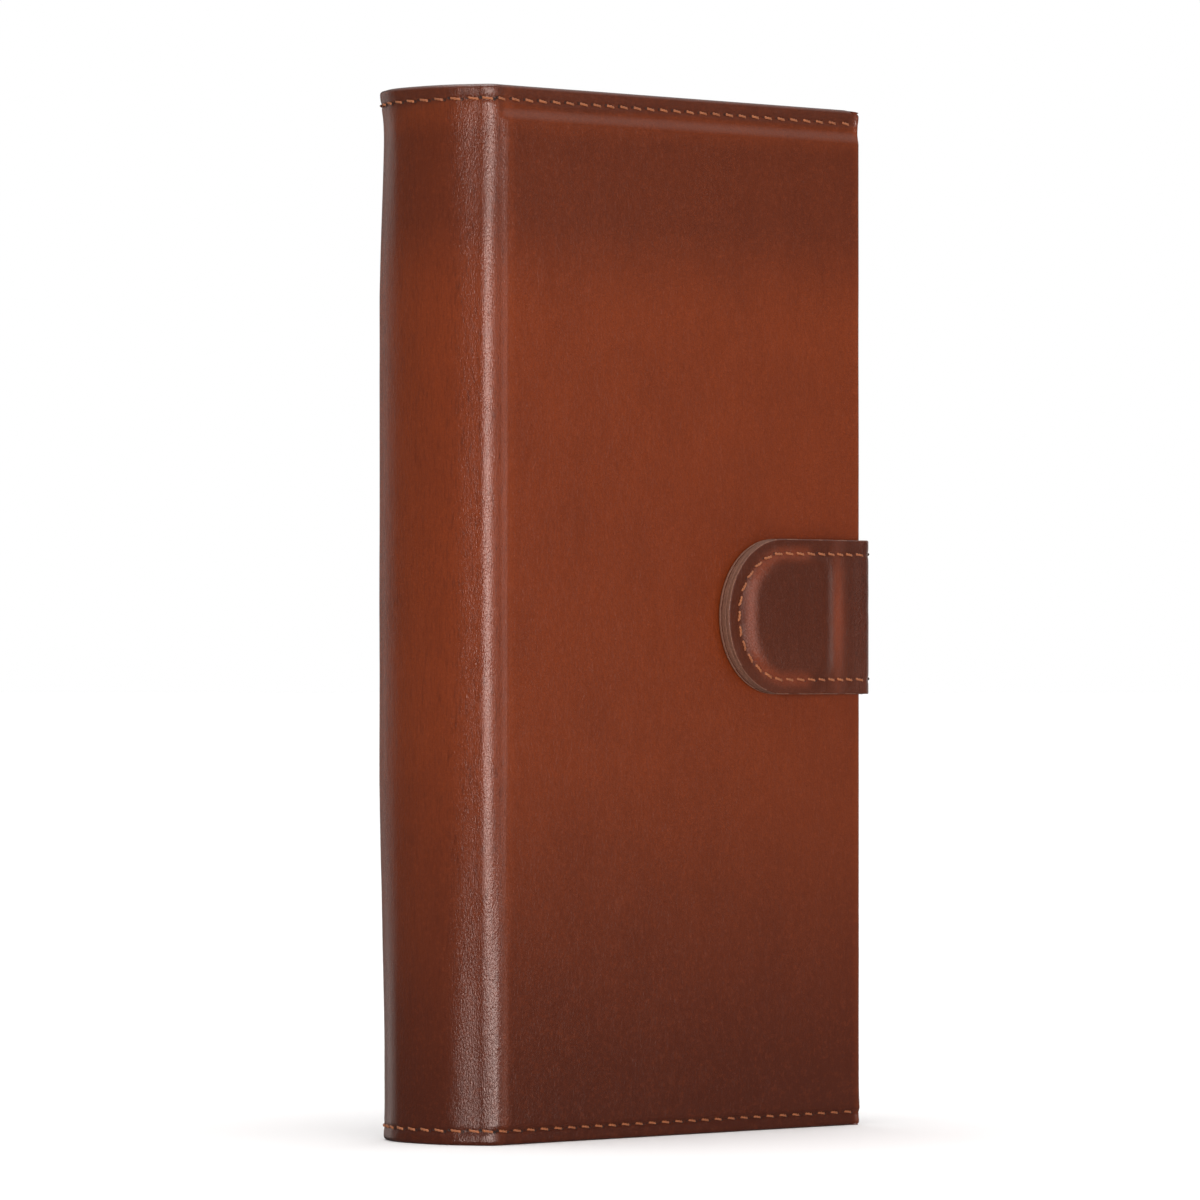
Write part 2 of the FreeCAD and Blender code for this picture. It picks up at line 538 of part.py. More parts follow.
# ---- Phone shell
def build_phone_shell():
    middle = MID_Z
    body = rounded_plate(SHELL_W, SHELL_H, SHELL_R, SHELL_FRONT_Y, SHELL_BACK_Y, 0, middle)
    cavity = rounded_plate(PHONE_W, PHONE_H, SHELL_R - SHELL_WALL, PHONE_Y - PHONE_T, PHONE_Y, 0,
                           middle)
    mouth = rounded_plate(PHONE_W - 2 * LIP_REACH, PHONE_H - 2 * LIP_REACH,
                          SHELL_R - SHELL_WALL - LIP_REACH, SHELL_FRONT_Y - 1,
                          PHONE_Y - PHONE_T + CUT, 0, middle)
    camera_x = PHONE_W / 2 - CAMERA_IN - CAMERA_W / 2
    camera_z = middle + PHONE_H / 2 - CAMERA_IN - CAMERA_H / 2
    window = rounded_plate(CAMERA_W, CAMERA_H, CAMERA_R, PHONE_Y - CUT, SHELL_OUT_Y + CUT, camera_x,
                           camera_z)
    plate_y = SHELL_BACK_Y - PLATE_T
    plate = rounded_plate(PLATE_W, PLATE_H, PLATE_R, plate_y, SHELL_BACK_Y, 0, PLATE_Z)
    low, port_y = middle - SHELL_H / 2, PHONE_Y - PHONE_T / 2
    port = block(-PORT_W / 2, PORT_W / 2, port_y - CUT_H / 2, port_y + CUT_H / 2,
                 low - CUT, low + SHELL_WALL + CUT)
    sound = [block(x - SOUND_W / 2, x + SOUND_W / 2, port_y - SOUND_H / 2, port_y + SOUND_H / 2,
                   low - CUT, low + SHELL_WALL + CUT) for x in (-SOUND_X, SOUND_X)]
    keys = block(SHELL_W / 2 - SHELL_WALL - CUT, SHELL_W / 2 + CUT, port_y - CUT_H / 2,
                 port_y + CUT_H / 2, middle + KEYS_LOW, middle + KEYS_HIGH)
    tray = body.cut([cavity, mouth, window, plate, port, keys] + sound)
    save("phone_shell_tray", tray)
    save("phone_shell_plate", plate)
    skin = rounded_plate(SHELL_W, SHELL_H, SHELL_R, SHELL_BACK_Y, SHELL_OUT_Y, 0, middle)
    save("phone_shell_leather", skin.cut(window))
    felt = rounded_plate(PHONE_W - 2 * FELT_INSET, PHONE_H - 2 * FELT_INSET, SHELL_R - FELT_R_LESS,
                         PHONE_Y - FELT, PHONE_Y, 0, middle)
    clear = rounded_plate(CAMERA_W + 2 * CLEAR, CAMERA_H + 2 * CLEAR, CAMERA_R + CLEAR,
                          PHONE_Y - CUT, SHELL_OUT_Y + CUT, camera_x, camera_z)
    save("phone_shell_felt", felt.cut(clear))


def hinge_points():
    """Where the folds turn, as X and Y: at the middle of each bend, half-way through its leather."""
    spine_turn = math.radians((270 + 180 + BEND_ANGLE) / 2)
    reach = CORNER_R - SKIN / 2
    front = V(BEND_X, -BEND_Y, 0) + V(math.cos(spine_turn), math.sin(spine_turn), 0) * reach
    rear = V(front.x, -front.y, 0)
    slant = math.sqrt(0.5)
    root = V(RIGHT, ROOT_FOLD_Y, 0) + V(slant, slant, 0) * (ROOT_FOLD_R - STRAP_T / 2)
    tab = V(TAB_FOLD_X, TAB_FOLD_Y, 0) + V(slant, -slant, 0) * (TAB_FOLD_R - STRAP_T / 2)
    named = {"front_fold": front, "rear_fold": rear, "strap_root": root, "tab_fold": tab}
    return {name: point + SHIFT for name, point in named.items()}


build_back_cover()
build_spine()
build_folds()
build_front_cover()
build_pockets()
build_strap()
build_tab()
build_phone_shell()

for name, shape in nodes.items():
    bad = [s for s in shape.Solids if not s.isValid() or s.Volume <= 0]
    if bad or not shape.Solids:
        raise SystemExit(f"{name} has {len(bad)} bad solids of {len(shape.Solids)}")
    shape.exportStep(f"parts/{name}.step")

for name, point in hinge_points().items():
    print(f"hinge {name}: x {point.x:.4f} y {point.y:.4f}")
print(f"{len(nodes)} nodes, {sum(len(s.Solids) for s in nodes.values())} solids")
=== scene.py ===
import math

import bmesh
import bpy
import numpy as np
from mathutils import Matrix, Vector, noise


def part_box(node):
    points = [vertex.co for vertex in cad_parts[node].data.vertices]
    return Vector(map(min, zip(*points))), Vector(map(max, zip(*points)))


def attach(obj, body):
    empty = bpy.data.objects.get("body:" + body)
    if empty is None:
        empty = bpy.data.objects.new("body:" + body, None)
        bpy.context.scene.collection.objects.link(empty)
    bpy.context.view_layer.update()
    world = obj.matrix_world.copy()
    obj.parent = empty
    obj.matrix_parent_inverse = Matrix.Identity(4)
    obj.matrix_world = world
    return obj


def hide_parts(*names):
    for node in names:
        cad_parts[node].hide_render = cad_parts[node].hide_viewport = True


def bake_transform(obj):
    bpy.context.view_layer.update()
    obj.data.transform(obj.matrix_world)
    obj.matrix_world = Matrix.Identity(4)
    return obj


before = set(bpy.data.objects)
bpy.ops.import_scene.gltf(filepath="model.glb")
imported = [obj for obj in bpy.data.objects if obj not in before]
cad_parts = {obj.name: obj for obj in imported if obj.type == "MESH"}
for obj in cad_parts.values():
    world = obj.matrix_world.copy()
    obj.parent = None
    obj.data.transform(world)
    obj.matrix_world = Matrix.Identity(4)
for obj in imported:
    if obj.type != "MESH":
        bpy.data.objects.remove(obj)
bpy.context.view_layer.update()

MM = 0.001

# ---- Sizes in millimetres, as the case is cut
CORNER_R = 3.0              # outer radius of the folds beside the spine
FOLD_WIDTH = 3.6            # from the spine's corner to where a cover stiffens
FOLD_ANGLE = 8.0            # degrees of the spine's arc that bend with each fold
LEATHER = 1.4
LINING = 0.6
FLAP = 0.9
EDGE_R = 0.9                # rounding of a cover's turned free edge
EDGE_T = 0.8                # thickness of the skived leather there
SKIVE = 5.0                 # how far from the free edge the leather thins
TOP_HEM, BOTTOM_HEM = 5.8, 2.9
HEM_SEAM = 2.3
TOP_STEP, BOTTOM_STEP = 2.4, 1.2    # widths of the slopes from the boards down to the hems
FOLD_STEP = 1.9             # width of the slope from a fold up to the cover's board
SINK_COVER, SINK_FOLD, SINK_SPINE = 0.7, 0.3, 0.2   # how far the leather drops where nothing lifts it
GROOVE, PUCKER = 0.14, 0.03         # depth of a seam's groove, and of the puckers between its stitches
UNEVEN, RIPPLE, FOLD_CREASE = 0.05, 0.015, 0.012    # depths of the skin's coarse, fine and creased unevenness
SLACK_FOOT, SLACK_HEAD = 62, 36      # from the foot and head to where the fold is pulled tight
SLACK_WIDTH = 7.6           # how far the slack reaches from the fold into the spine
FACE_INSET = 0.03           # how far the skin's face stays inside the CAD's
FACE_TURN = 0.7             # rounding of the skin at the head and foot
FLARE_EDGE, FLARE_HEAD, FLARE_FOOT = 0.45, 1.15, 0.35   # how far the hems stand out: free edge, spine's ends
SHEET_R, POCKET_R = 0.25, 0.2       # rounding of the edges of the lining and of the pockets
SHIM = 0.02                 # gap between layers that touch
PITCH, STRAP_PITCH = 3.0, 2.55      # from stitch to stitch
STITCH = 1.95               # a stitch's length
TAB_SEAM, TAB_DIP = 2.4, 0.12       # the strap's seam: distance from the edge, and depth of its groove
CORE = 1.1                  # thickness of the tab's middle layer
STRAP_SKIN, STRAP_LINING = 0.75, 0.55
STRAP_EDGE_R, CORE_INSET = 0.22, 0.06
TAB_FOLD_R = 2.0            # outer radius of the strap's fold at the free edge
RISE_R = (6.8, 2.2)         # corner radii of the magnet's rise: on the tip's side and on the strap's side
RISE_SLOPE = (3.4, 3.6)     # widths of its slopes there
RISE_SHARE = 0.62           # how much of the magnet's height shows through the leather
GAP = 0.15                  # clearance between the strap and the covers
POCKET, POCKET_SEAM = 0.7, 1.6      # a pocket's thickness, and how far its seam is from its edge
THUMB = 4.0                 # depth of a card pocket's thumb curve
THREAD_IN = 0.05            # how far the pockets' thread is pressed into the leather


def mm_box(node):
    """The low and high corners of a CAD node, in millimetres."""
    low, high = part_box(node)
    return low / MM, high / MM


# ---- Places that the frame gives
front_low, front_high = mm_box("front_cover_leather")
_, back_high = mm_box("back_cover_leather")
spine_low, _ = mm_box("spine_leather")
_, lining_high = mm_box("front_cover_lining")
rear_lining_low, _ = mm_box("back_cover_lining")
strap_low, strap_high = mm_box("strap_leather")
tab_low, _ = mm_box("tab_lining")
magnet_low, magnet_high = mm_box("tab_magnet")
_, core_high = mm_box("tab_core")
HEIGHT = front_high.z
FRONT, BACK = front_low.y, back_high.y
RIGHT, COVER_X = front_high.x, front_low.x
MIDDLE_Y = (FRONT + BACK) / 2
HALF = (BACK - FRONT) / 2
LEFT = COVER_X - FOLD_WIDTH
BULGE = LEFT - spine_low.x
SPINE_R = (HALF ** 2 + BULGE ** 2) / (2 * BULGE)
SPINE_X = spine_low.x + SPINE_R
BEND_X = SPINE_X - math.sqrt((SPINE_R - CORNER_R) ** 2 - (HALF - CORNER_R) ** 2)
BEND = math.atan2(HALF - CORNER_R, SPINE_X - BEND_X)
FIRM = BEND - math.radians(FOLD_ANGLE)
FRONT_DEPTH = lining_high.y - FRONT - LINING     # from the face to the lining, over the boards
BACK_DEPTH = BACK - rear_lining_low.y - LINING
MID_Z = (strap_low.z + strap_high.z) / 2
STRAP_HALF = (strap_high.z - strap_low.z) / 2
STRAP_T = STRAP_SKIN + STRAP_LINING

# Distances along the case's outline, from the middle of the spine
S_FIRM = SPINE_R * FIRM
S_CORNER = SPINE_R * BEND
S_FLAT = S_CORNER + CORNER_R * (math.pi / 2 - BEND)
S_COVER = S_FLAT + COVER_X - BEND_X
S_EDGE = S_FLAT + RIGHT - EDGE_R - BEND_X
S_WALL = S_EDGE + EDGE_R * math.pi / 2
S_END = S_WALL + 3.3        # the turned leather's last line


def smooth(x, a, b):
    """0 before a, 1 after b, and an even slope between."""
    t = np.clip((x - a) / (b - a), 0, 1)
    return t * t * (3 - 2 * t)


def bell(x, centre, width):
    """1 at the centre, falling off softly to both sides."""
    return np.exp(-((x - centre) / width) ** 2)


def rounding(near, radius):
    """How far a rounded edge drops at a distance from that edge."""
    return radius - np.sqrt(np.clip(radius ** 2 - np.clip(radius - near, 0, radius) ** 2, 0, None))


def grain(x, y, z=0.0):
    """Smooth noise from -1 to 1 at each point of two arrays."""
    x, y = np.broadcast_arrays(x, y)
    flat = [noise.noise(Vector((a, b, z))) for a, b in zip(x.ravel(), y.ravel())]
    return np.array(flat).reshape(x.shape)


def spaced(*stops):
    """Grid lines: pairs of (place, spacing up to the next place)."""
    lines = []
    for (a, step), (b, _) in zip(stops, stops[1:]):
        lines += list(np.linspace(a, b, max(2, round((b - a) / step) + 1))[:-1])
    return np.array(lines + [stops[-1][0]])


# ---- Mesh helpers
def new_mesh(name, points, faces, material, crease=0.3, wear_and_highlight=0.0):
    """A smooth mesh from points in millimetres. It stores rest place, crease, and a field of wear and painted
    highlight for the textures.
    """
    mesh = bpy.data.meshes.new(name)
    mesh.from_pydata((np.asarray(points) * MM).tolist(), [], faces)
    bm = bmesh.new()
    bm.from_mesh(mesh)
    bmesh.ops.recalc_face_normals(bm, faces=bm.faces)
    bm.to_mesh(mesh)
    bm.free()
    rest = mesh.attributes.new("rest", "FLOAT_VECTOR", "POINT")
    rest.data.foreach_set("vector", np.asarray(points, np.float32).ravel())
    for field, values in (("crease", crease), ("wear_and_highlight", wear_and_highlight)):
        values = np.broadcast_to(np.asarray(values, np.float32), len(mesh.vertices))
        mesh.attributes.new(field, "FLOAT", "POINT").data.foreach_set("value", np.ascontiguousarray(values))
    mesh.shade_smooth()
    mesh.set_sharp_from_angle(angle=math.radians(50))
    mesh.materials.append(material)
    obj = bpy.data.objects.new(name, mesh)
    bpy.context.scene.collection.objects.link(obj)
    return obj


def slab(name, upper, lower, material, crease=0.3, wear_and_highlight=0.0, cut=None, cut_material=None):
    """A closed sheet between two grids of points, joined along their borders. Its cut edge may differ."""
    nu, nv = upper.shape[:2]
    points = np.concatenate([upper.reshape(-1, 3), lower.reshape(-1, 3)])
    index = np.arange(nu * nv).reshape(nu, nv)
    a, b, c, d = index[:-1, :-1], index[1:, :-1], index[1:, 1:], index[:-1, 1:]
    top = np.stack([a, b, c, d], -1).reshape(-1, 4)
    faces = top.tolist() + (top[:, ::-1] + nu * nv).tolist()
    border = np.concatenate([index[:, 0], index[-1, 1:], index[-2::-1, -1], index[0, -2:0:-1]])
    following = np.roll(border, -1)
    faces += np.stack([following, border, border + nu * nv, following + nu * nv], -1).tolist()
    crease, wear_and_highlight = (np.tile(np.broadcast_to(field, (nu, nv)).ravel(), 2) for field in (crease, wear_and_highlight))
    piece = new_mesh(name, points, faces, material, crease, wear_and_highlight)
    if cut_material is not None:
        piece.data.materials.append(cut_material)
        at_cut = cut.ravel()[top].all(1)
        index = np.concatenate([at_cut, at_cut, np.ones(len(border), bool)])
        piece.data.polygons.foreach_set("material_index", index.astype(np.int32))
    return piece


def outline(s, side):
    """The closed case's outer line seen from above: places and outward normals at distances s."""
    s = np.asarray(s, float)
    a = s / SPINE_R
    b = BEND + np.clip(s - S_CORNER, 0, None) / CORNER_R
    c = np.clip(s - S_EDGE, 0, None) / EDGE_R
    parts = [s < S_CORNER, s < S_FLAT, s < S_EDGE, s < S_WALL]
    low, high = BEND_X, RIGHT - EDGE_R
    x = np.select(parts, [SPINE_X - SPINE_R * np.cos(a), low - CORNER_R * np.cos(b), low + s - S_FLAT,
                          high + EDGE_R * np.sin(c)], RIGHT)
    y = np.select(parts, [SPINE_R * np.sin(a), HALF - CORNER_R + CORNER_R * np.sin(b), HALF,
                          HALF - EDGE_R + EDGE_R * np.cos(c)], HALF - EDGE_R - np.clip(s - S_WALL, 0, None))
    nx = np.select(parts, [-np.cos(a), -np.cos(b), 0 * s, np.sin(c)], 1)
    ny = np.select(parts, [np.sin(a), np.sin(b), 0 * s + 1, np.cos(c)], 0)
    return x, MIDDLE_Y + side * y, nx, side * ny


def on_outline(s, z, depth, side):
    """Points at a depth under the case's outer line."""
    x, y, nx, ny = outline(s, side)
    return np.stack([x - nx * depth, y - ny * depth, z], -1)


# ---- The outer leather
def board(z):
    """1 over the boards, 0 over the hems."""
    top = HEIGHT - TOP_HEM
    return smooth(z, BOTTOM_HEM - BOTTOM_STEP, BOTTOM_HEM) * (1 - smooth(z, top, top + TOP_STEP))


def board_edge(z):
    """Where a cover's board shows through the leather: nearer the spine at the foot."""
    return S_COVER - 1.2 * (1 - smooth(z, 5, 70))


def raised(s, z):
    """1 where a cover's board or the spine's stiffener lifts the leather, 0 at the fold."""
    edge = board_edge(z)
    return smooth(s, edge - FOLD_STEP, edge) + 1 - smooth(s, S_FIRM - 3, S_FIRM + 4)


def relaxed(s, z):
    """The fold is pulled tight at mid height, and takes a rounder, deeper line towards the ends."""
    at_foot, at_head = 1 - smooth(z, 4, SLACK_FOOT), 1 - smooth(HEIGHT - z, 0, SLACK_HEAD)
    ends = at_foot + 0.85 * at_head
    peak = S_CORNER + 0.6
    return ends * smooth(s, peak - SLACK_WIDTH, peak) * (1 - smooth(s, peak, S_COVER + 0.3))


def sinking(s):
    """How far the leather drops where nothing lifts it."""
    spine_to_fold = smooth(s, S_FIRM, S_CORNER)
    fold_to_cover = smooth(s, S_FLAT, S_COVER)
    return SINK_SPINE + (SINK_FOLD - SINK_SPINE) * spine_to_fold + (SINK_COVER - SINK_FOLD) * fold_to_cover


def skin_depth(s, z, side):
    """Depth of the leather's face: boards, hems, the seams' grooves and the skin's own unevenness."""
    depth = sinking(s) * (1 - raised(s, z) * board(z)) + relaxed(s, z)
    for seam in (HEM_SEAM, HEIGHT - HEM_SEAM):
        pucker = PUCKER * np.cos(2 * math.pi * s / PITCH) * bell(z, seam, 1.2)
        depth = depth + GROOVE * bell(z, seam, 0.5) + pucker
    around = side * s
    depth = depth + UNEVEN * grain(around / 13, z / 16, 3.0) + RIPPLE * grain(around / 3.1, z / 4.3, 1.0)
    creased = bell(s, S_CORNER - 1.0, 4.5)
    return depth + creased * FOLD_CREASE * grain(around / 0.9, z / 9, 7.0) + FACE_INSET


def wall_end(z, side):
    """How deep the turned free edge reaches, at each height."""
    full = FRONT_DEPTH if side < 0 else BACK_DEPTH
    hem = LEATHER + FLAP
    return hem + (full - hem) * smooth(board(z), 0.0, 0.6)


def flare(points, s, z, side):
    """The soft hems stand out a little at the corners."""
    top, bottom = HEIGHT - z, z
    at_edge = smooth(s, S_EDGE - 7, S_EDGE)
    at_spine = 1 - smooth(s, S_CORNER, S_FLAT + 3)
    rear = 0.35 + 0.65 * smooth(side * s, -S_CORNER, S_CORNER)
    out = FLARE_EDGE * at_edge * (bell(top, 0, 3.2) + bell(bottom, 0, 3.2))
    at_ends = FLARE_HEAD * rear * bell(top, 0, 4.0) + FLARE_FOOT * bell(bottom, 0, 3.0)
    points[..., 0] += out - at_spine * at_ends
    points[..., 2] -= 0.5 * smooth(s, S_EDGE - 2.2, S_WALL) * bell(top, 0, 2.0)
    return points


def skin_grid(s, z, side, under):
    """The leather's face (under False) or its flesh side, as a grid of points."""
    s, z = np.meshgrid(s, z, indexing="ij")
    face = skin_depth(s, z, side)
    past = np.clip((s - S_WALL) / (S_END - S_WALL), 0, 1)
    reach = S_WALL + past * (wall_end(z, side) - EDGE_R)
    where = np.where(s > S_WALL, reach, s)
    thick = LEATHER - (LEATHER - EDGE_T) * smooth(s, S_EDGE - SKIVE, S_EDGE - 0.5)
    hem = (LEATHER + FLAP) + (0.5 - FLAP) * (1 - smooth(s, S_FLAT, S_COVER))
    inner = thick + (hem - thick) * (1 - smooth(board(z), 0.0, 0.7)) * (1 - smooth(s, S_EDGE - 2, S_EDGE))
    inner = inner + relaxed(s, z)
    face = face * (1 - smooth(s, S_EDGE, S_WALL) * 0.8)
    near = np.minimum(z, HEIGHT - z)
    drop = rounding(near, FACE_TURN)
    depth = np.minimum(inner - 2 * SHIM, inner - drop * 0.6) if under else face + drop
    points = on_outline(where, z, depth, side)
    return flare(points, s, z, side)


SKIN_S = spaced((0, 0.5), (S_FIRM - 3, 0.2), (S_COVER + 0.8, 0.45), (S_COVER + 4, 1.2),
                (S_EDGE - 5, 0.5), (S_EDGE, 0.22), (S_WALL, 0.5), (S_END, 1))
SKIN_Z = spaced((0, 0.1), (0.7, 0.22), (BOTTOM_HEM + 1, 0.7), (BOTTOM_HEM + 6, 1.6),
                (HEIGHT - TOP_HEM - 6, 0.7), (HEIGHT - TOP_HEM - 1, 0.22), (HEIGHT - 0.7, 0.1), (HEIGHT, 1))
SEAM_POINT = {-1: on_outline(S_FIRM, 0.0, 0.0, -1), 1: on_outline(S_FIRM, 0.0, 0.0, 1)}


def bend_with_case(piece, side):
    """Bakes the piece's placing into its mesh, alike for either side."""
    if side < 0:
        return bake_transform(piece)
    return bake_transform(piece)


def make_skins(material):
    """The front leather with the spine, and the rear leather."""
    names = {-1: "front_outer_leather", 1: "rear_outer_leather"}
    nodes = {-1: ("front_cover_leather", "front_fold_leather", "spine_leather"),
             1: ("back_cover_leather", "rear_fold_leather")}
    s, z = np.meshgrid(SKIN_S, SKIN_Z, indexing="ij")
    by_fold = 0.45 + 0.55 * smooth(s, S_CORNER - 9, S_CORNER - 2)
    crease = 0.22 + 0.78 * by_fold * (1 - smooth(s, S_FLAT, S_COVER + 1.5))
    # On the covers this field is lighter along the board's edge and at the free edge.
    wear_and_highlight = 0.12 * bell(s, board_edge(z) + 0.7, 0.9) + 0.25 * smooth(s, S_EDGE - 1.5, S_WALL)
    for side in (-1, 1):
        skin = slab(names[side], skin_grid(SKIN_S, SKIN_Z, side, False),
                    skin_grid(SKIN_S, SKIN_Z, side, True), material, crease, wear_and_highlight)
        bend_with_case(skin, side)
        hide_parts(*nodes[side])


# ---- The lining
def lining_grid(s, z, side, inside):
    """The inner leather: over the boards, down to the turned hems, and through the folds."""
    s, z = np.meshgrid(s, z, indexing="ij")
    full = FRONT_DEPTH if side < 0 else BACK_DEPTH
    hem = LEATHER + FLAP
    low = hem + (full - hem) * smooth(z, BOTTOM_HEM - 1.9, BOTTOM_HEM) * (
        1 - smooth(z, HEIGHT - TOP_HEM, HEIGHT - TOP_HEM + 1.9))
    spine = LEATHER + 0.5
    fold = smooth(s, S_FIRM, S_CORNER) * (1 - smooth(s, S_FLAT, S_COVER - 0.1))
    depth = np.where(s < S_COVER, spine - 0.45 * fold + (low - spine) * smooth(s, S_FLAT, S_COVER - 0.1), low)
    depth = depth + relaxed(s, z) + 0.03 * grain(side * s / 6, z / 9, 21)
    near = np.minimum(np.minimum(z - LINING_Z[0], LINING_Z[-1] - z), np.clip(LINING_S[-1] - s, 0, 99))
    depth = depth + (LINING - rounding(near, SHEET_R) if inside else SHIM)
    return on_outline(s, z, depth, side)


LINING_S = spaced((0, 0.8), (S_FIRM, 0.35), (S_COVER + 0.6, 1.6), (S_EDGE - 1, 0.15), (S_EDGE - 0.3, 1))
LINING_Z = spaced((0.8, 0.12), (1.2, 0.4), (BOTTOM_HEM + 0.8, 2.4), (HEIGHT - TOP_HEM - 0.8, 0.4),
                  (HEIGHT - 1.2, 0.12), (HEIGHT - 0.8, 1))


def make_linings(material):
    """The inner leather of both covers and the spine."""
    names = {-1: "front_inner_lining", 1: "rear_inner_lining"}
    nodes = {-1: ("front_cover_lining", "front_fold_lining", "spine_lining"),
             1: ("back_cover_lining", "rear_fold_lining")}
    for side in (-1, 1):
        piece = slab(names[side], lining_grid(LINING_S, LINING_Z, side, True),
                     lining_grid(LINING_S, LINING_Z, side, False), material)
        bend_with_case(piece, side)
        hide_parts(*nodes[side])


# ---- Thread
PLY_R = 0.135               # radius of one ply
TWIST = 1.6                 # half turns of the plies along a stitch
SLANT = 0.13                # how far a stitch's ends stand to the sides of its seam
LIFT, DIVE = 0.14, 0.42     # how high a stitch's middle stands, and how deep its ends go
RINGS, AROUND = 11, 6       # rings along a ply, and points round each
HOLE_ROWS = ((0.27, -0.14), (0.23, 0.0), (0.14, -0.02), (0.07, -0.1))   # a needle hole's radii and heights
HOLE_SIDES = 10
HOLE_PAST = 0.12            # from a stitch's end to its hole's middle


def thread_points(place, along, outward):
    """Two twisted plies that come out of one needle hole and go down the next."""
    side = np.cross(along, outward)
    u = np.linspace(-1, 1, RINGS)
    height = LIFT * (1 - np.abs(u) ** 3) - DIVE * np.abs(u) ** 7
    middle = (place + np.outer(u * STITCH / 2, along) + np.outer(height, outward)
              + np.outer(u * SLANT, side))
    tubes = []
    for ply in (0, math.pi):
        turn = ply + u * TWIST * math.pi
        axis = middle + PLY_R * 0.62 * (np.outer(np.cos(turn), side) + np.outer(np.sin(turn), outward))
        ring = np.linspace(0, 2 * math.pi, AROUND, endpoint=False)
        circle = np.outer(np.cos(ring), side) + np.outer(np.sin(ring), outward)
        tubes.append(axis[:, None, :] + PLY_R * circle[None, :, :])
    return tubes


def ring_faces(start, rings, sides):
    """Faces of a closed tube whose points lie in rings, numbered from start."""
    faces = []
    for i in range(rings - 1):
        for k in range(sides):
            a, b = start + i * sides + k, start + i * sides + (k + 1) % sides
            faces.append((a, b, b + sides, a + sides))
    faces.append(tuple(start + k for k in reversed(range(sides))))
    faces.append(tuple(start + (rings - 1) * sides + k for k in range(sides)))
    return faces


def hole_points(place, along, outward):
    """A needle hole: a small dimple with a flat rim, coloured near black as painted shade."""
    side = np.cross(along, outward)
    ring = np.linspace(0, 2 * math.pi, HOLE_SIDES, endpoint=False)
    rows = []
    for radius, height in HOLE_ROWS:
        circle = np.outer(np.cos(ring) * radius * 1.15, along) + np.outer(np.sin(ring) * radius, side)
        rows.append(place + circle + outward * height)
    return np.concatenate(rows)


def sew(name, stitches, thread, hole, holes_too=True):
    """One piece of stitches and one of their needle holes. A stitch is its place, direction and outward."""
    points, faces, rims, rim_faces = [], [], [], []
    count = rim_count = 0
    for place, along, outward in stitches:
        place, along, outward = (np.asarray(v, float) for v in (place, along, outward))
        for tube in thread_points(place, along, outward):
            points.append(tube.reshape(-1, 3))
            faces += ring_faces(count, RINGS, AROUND)
            count += RINGS * AROUND
        if holes_too:
            side = np.cross(along, outward)
            for end in (-1, 1):
                where = place + along * end * (STITCH / 2 + HOLE_PAST) + side * end * SLANT
                rims.append(hole_points(where, along, outward))
                rim_faces += ring_faces(rim_count, len(HOLE_ROWS), HOLE_SIDES)
                rim_count += len(HOLE_ROWS) * HOLE_SIDES
    made = [new_mesh(name, np.concatenate(points), faces, thread)]
    if holes_too:
        made.append(new_mesh(name + "_holes", np.concatenate(rims), rim_faces, hole))
    return made


def run_of(place_at, start, end, pitch=PITCH):
    """Even stitches along a line: place_at gives the surface point and its outward normal."""
    count = max(1, round(abs(end - start) / pitch))
    step = (end - start) / count
    stitches = []
    for i in range(count):
        t = start + step * (i + 0.5)
        place, outward = place_at(t)
        ahead, _ = place_at(t + 0.1)
        along = (ahead - place) / np.linalg.norm(ahead - place)
        stitches.append((place, along, outward))
    return stitches


def hem_place(z, side):
    """The seam's surface point and outward normal at each distance along the hem."""
    def place_at(s):
        at, zz = np.array([[s]]), np.array([[z]])
        point = flare(on_outline(at, zz, skin_depth(at, zz, side), side), at, zz, side)[0, 0]
        _, _, nx, ny = outline(np.array(s), side)
        return point, np.array([float(nx), float(ny), 0.0])
    return place_at


def make_hem_stitching(thread, hole):
    """The seams along the head and the foot."""
    names = {-1: "front_hem_stitching", 1: "rear_hem_stitching"}
    nodes = {-1: ("front_cover_stitching", "spine_stitching"), 1: ("back_cover_stitching",)}
    for side in (-1, 1):
        stitches = []
        for z in (HEM_SEAM, HEIGHT - HEM_SEAM):
            stitches += run_of(hem_place(z, side), 0.0, S_EDGE - 0.6)
        pieces = sew(names[side], stitches, thread, hole)
        for piece in pieces:
            bend_with_case(piece, side)
        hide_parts(*nodes[side])


# ---- Strap and tab
ROOT_Y = BACK - LEATHER - GAP - STRAP_T
TAB_R = TAB_FOLD_R - STRAP_T
TAB_X = RIGHT + GAP + STRAP_T - TAB_FOLD_R
TAB_Y = FRONT - GAP - STRAP_T + TAB_FOLD_R
TIP_X = tab_low.x
T_ROOT = 8.0                                    # length hidden in the back cover
T_SIDE = T_ROOT + GAP * math.pi / 2
T_FRONT = T_SIDE + ROOT_Y - TAB_Y
T_TAB = T_FRONT + TAB_R * math.pi / 2
T_TIP = T_TAB + TAB_X - TIP_X
T_HALF = (T_SIDE + T_FRONT) / 2
T_ROUND = T_TIP - STRAP_HALF                    # where the tab's round end begins
T_CORE = T_TAB + TAB_X - core_high.x


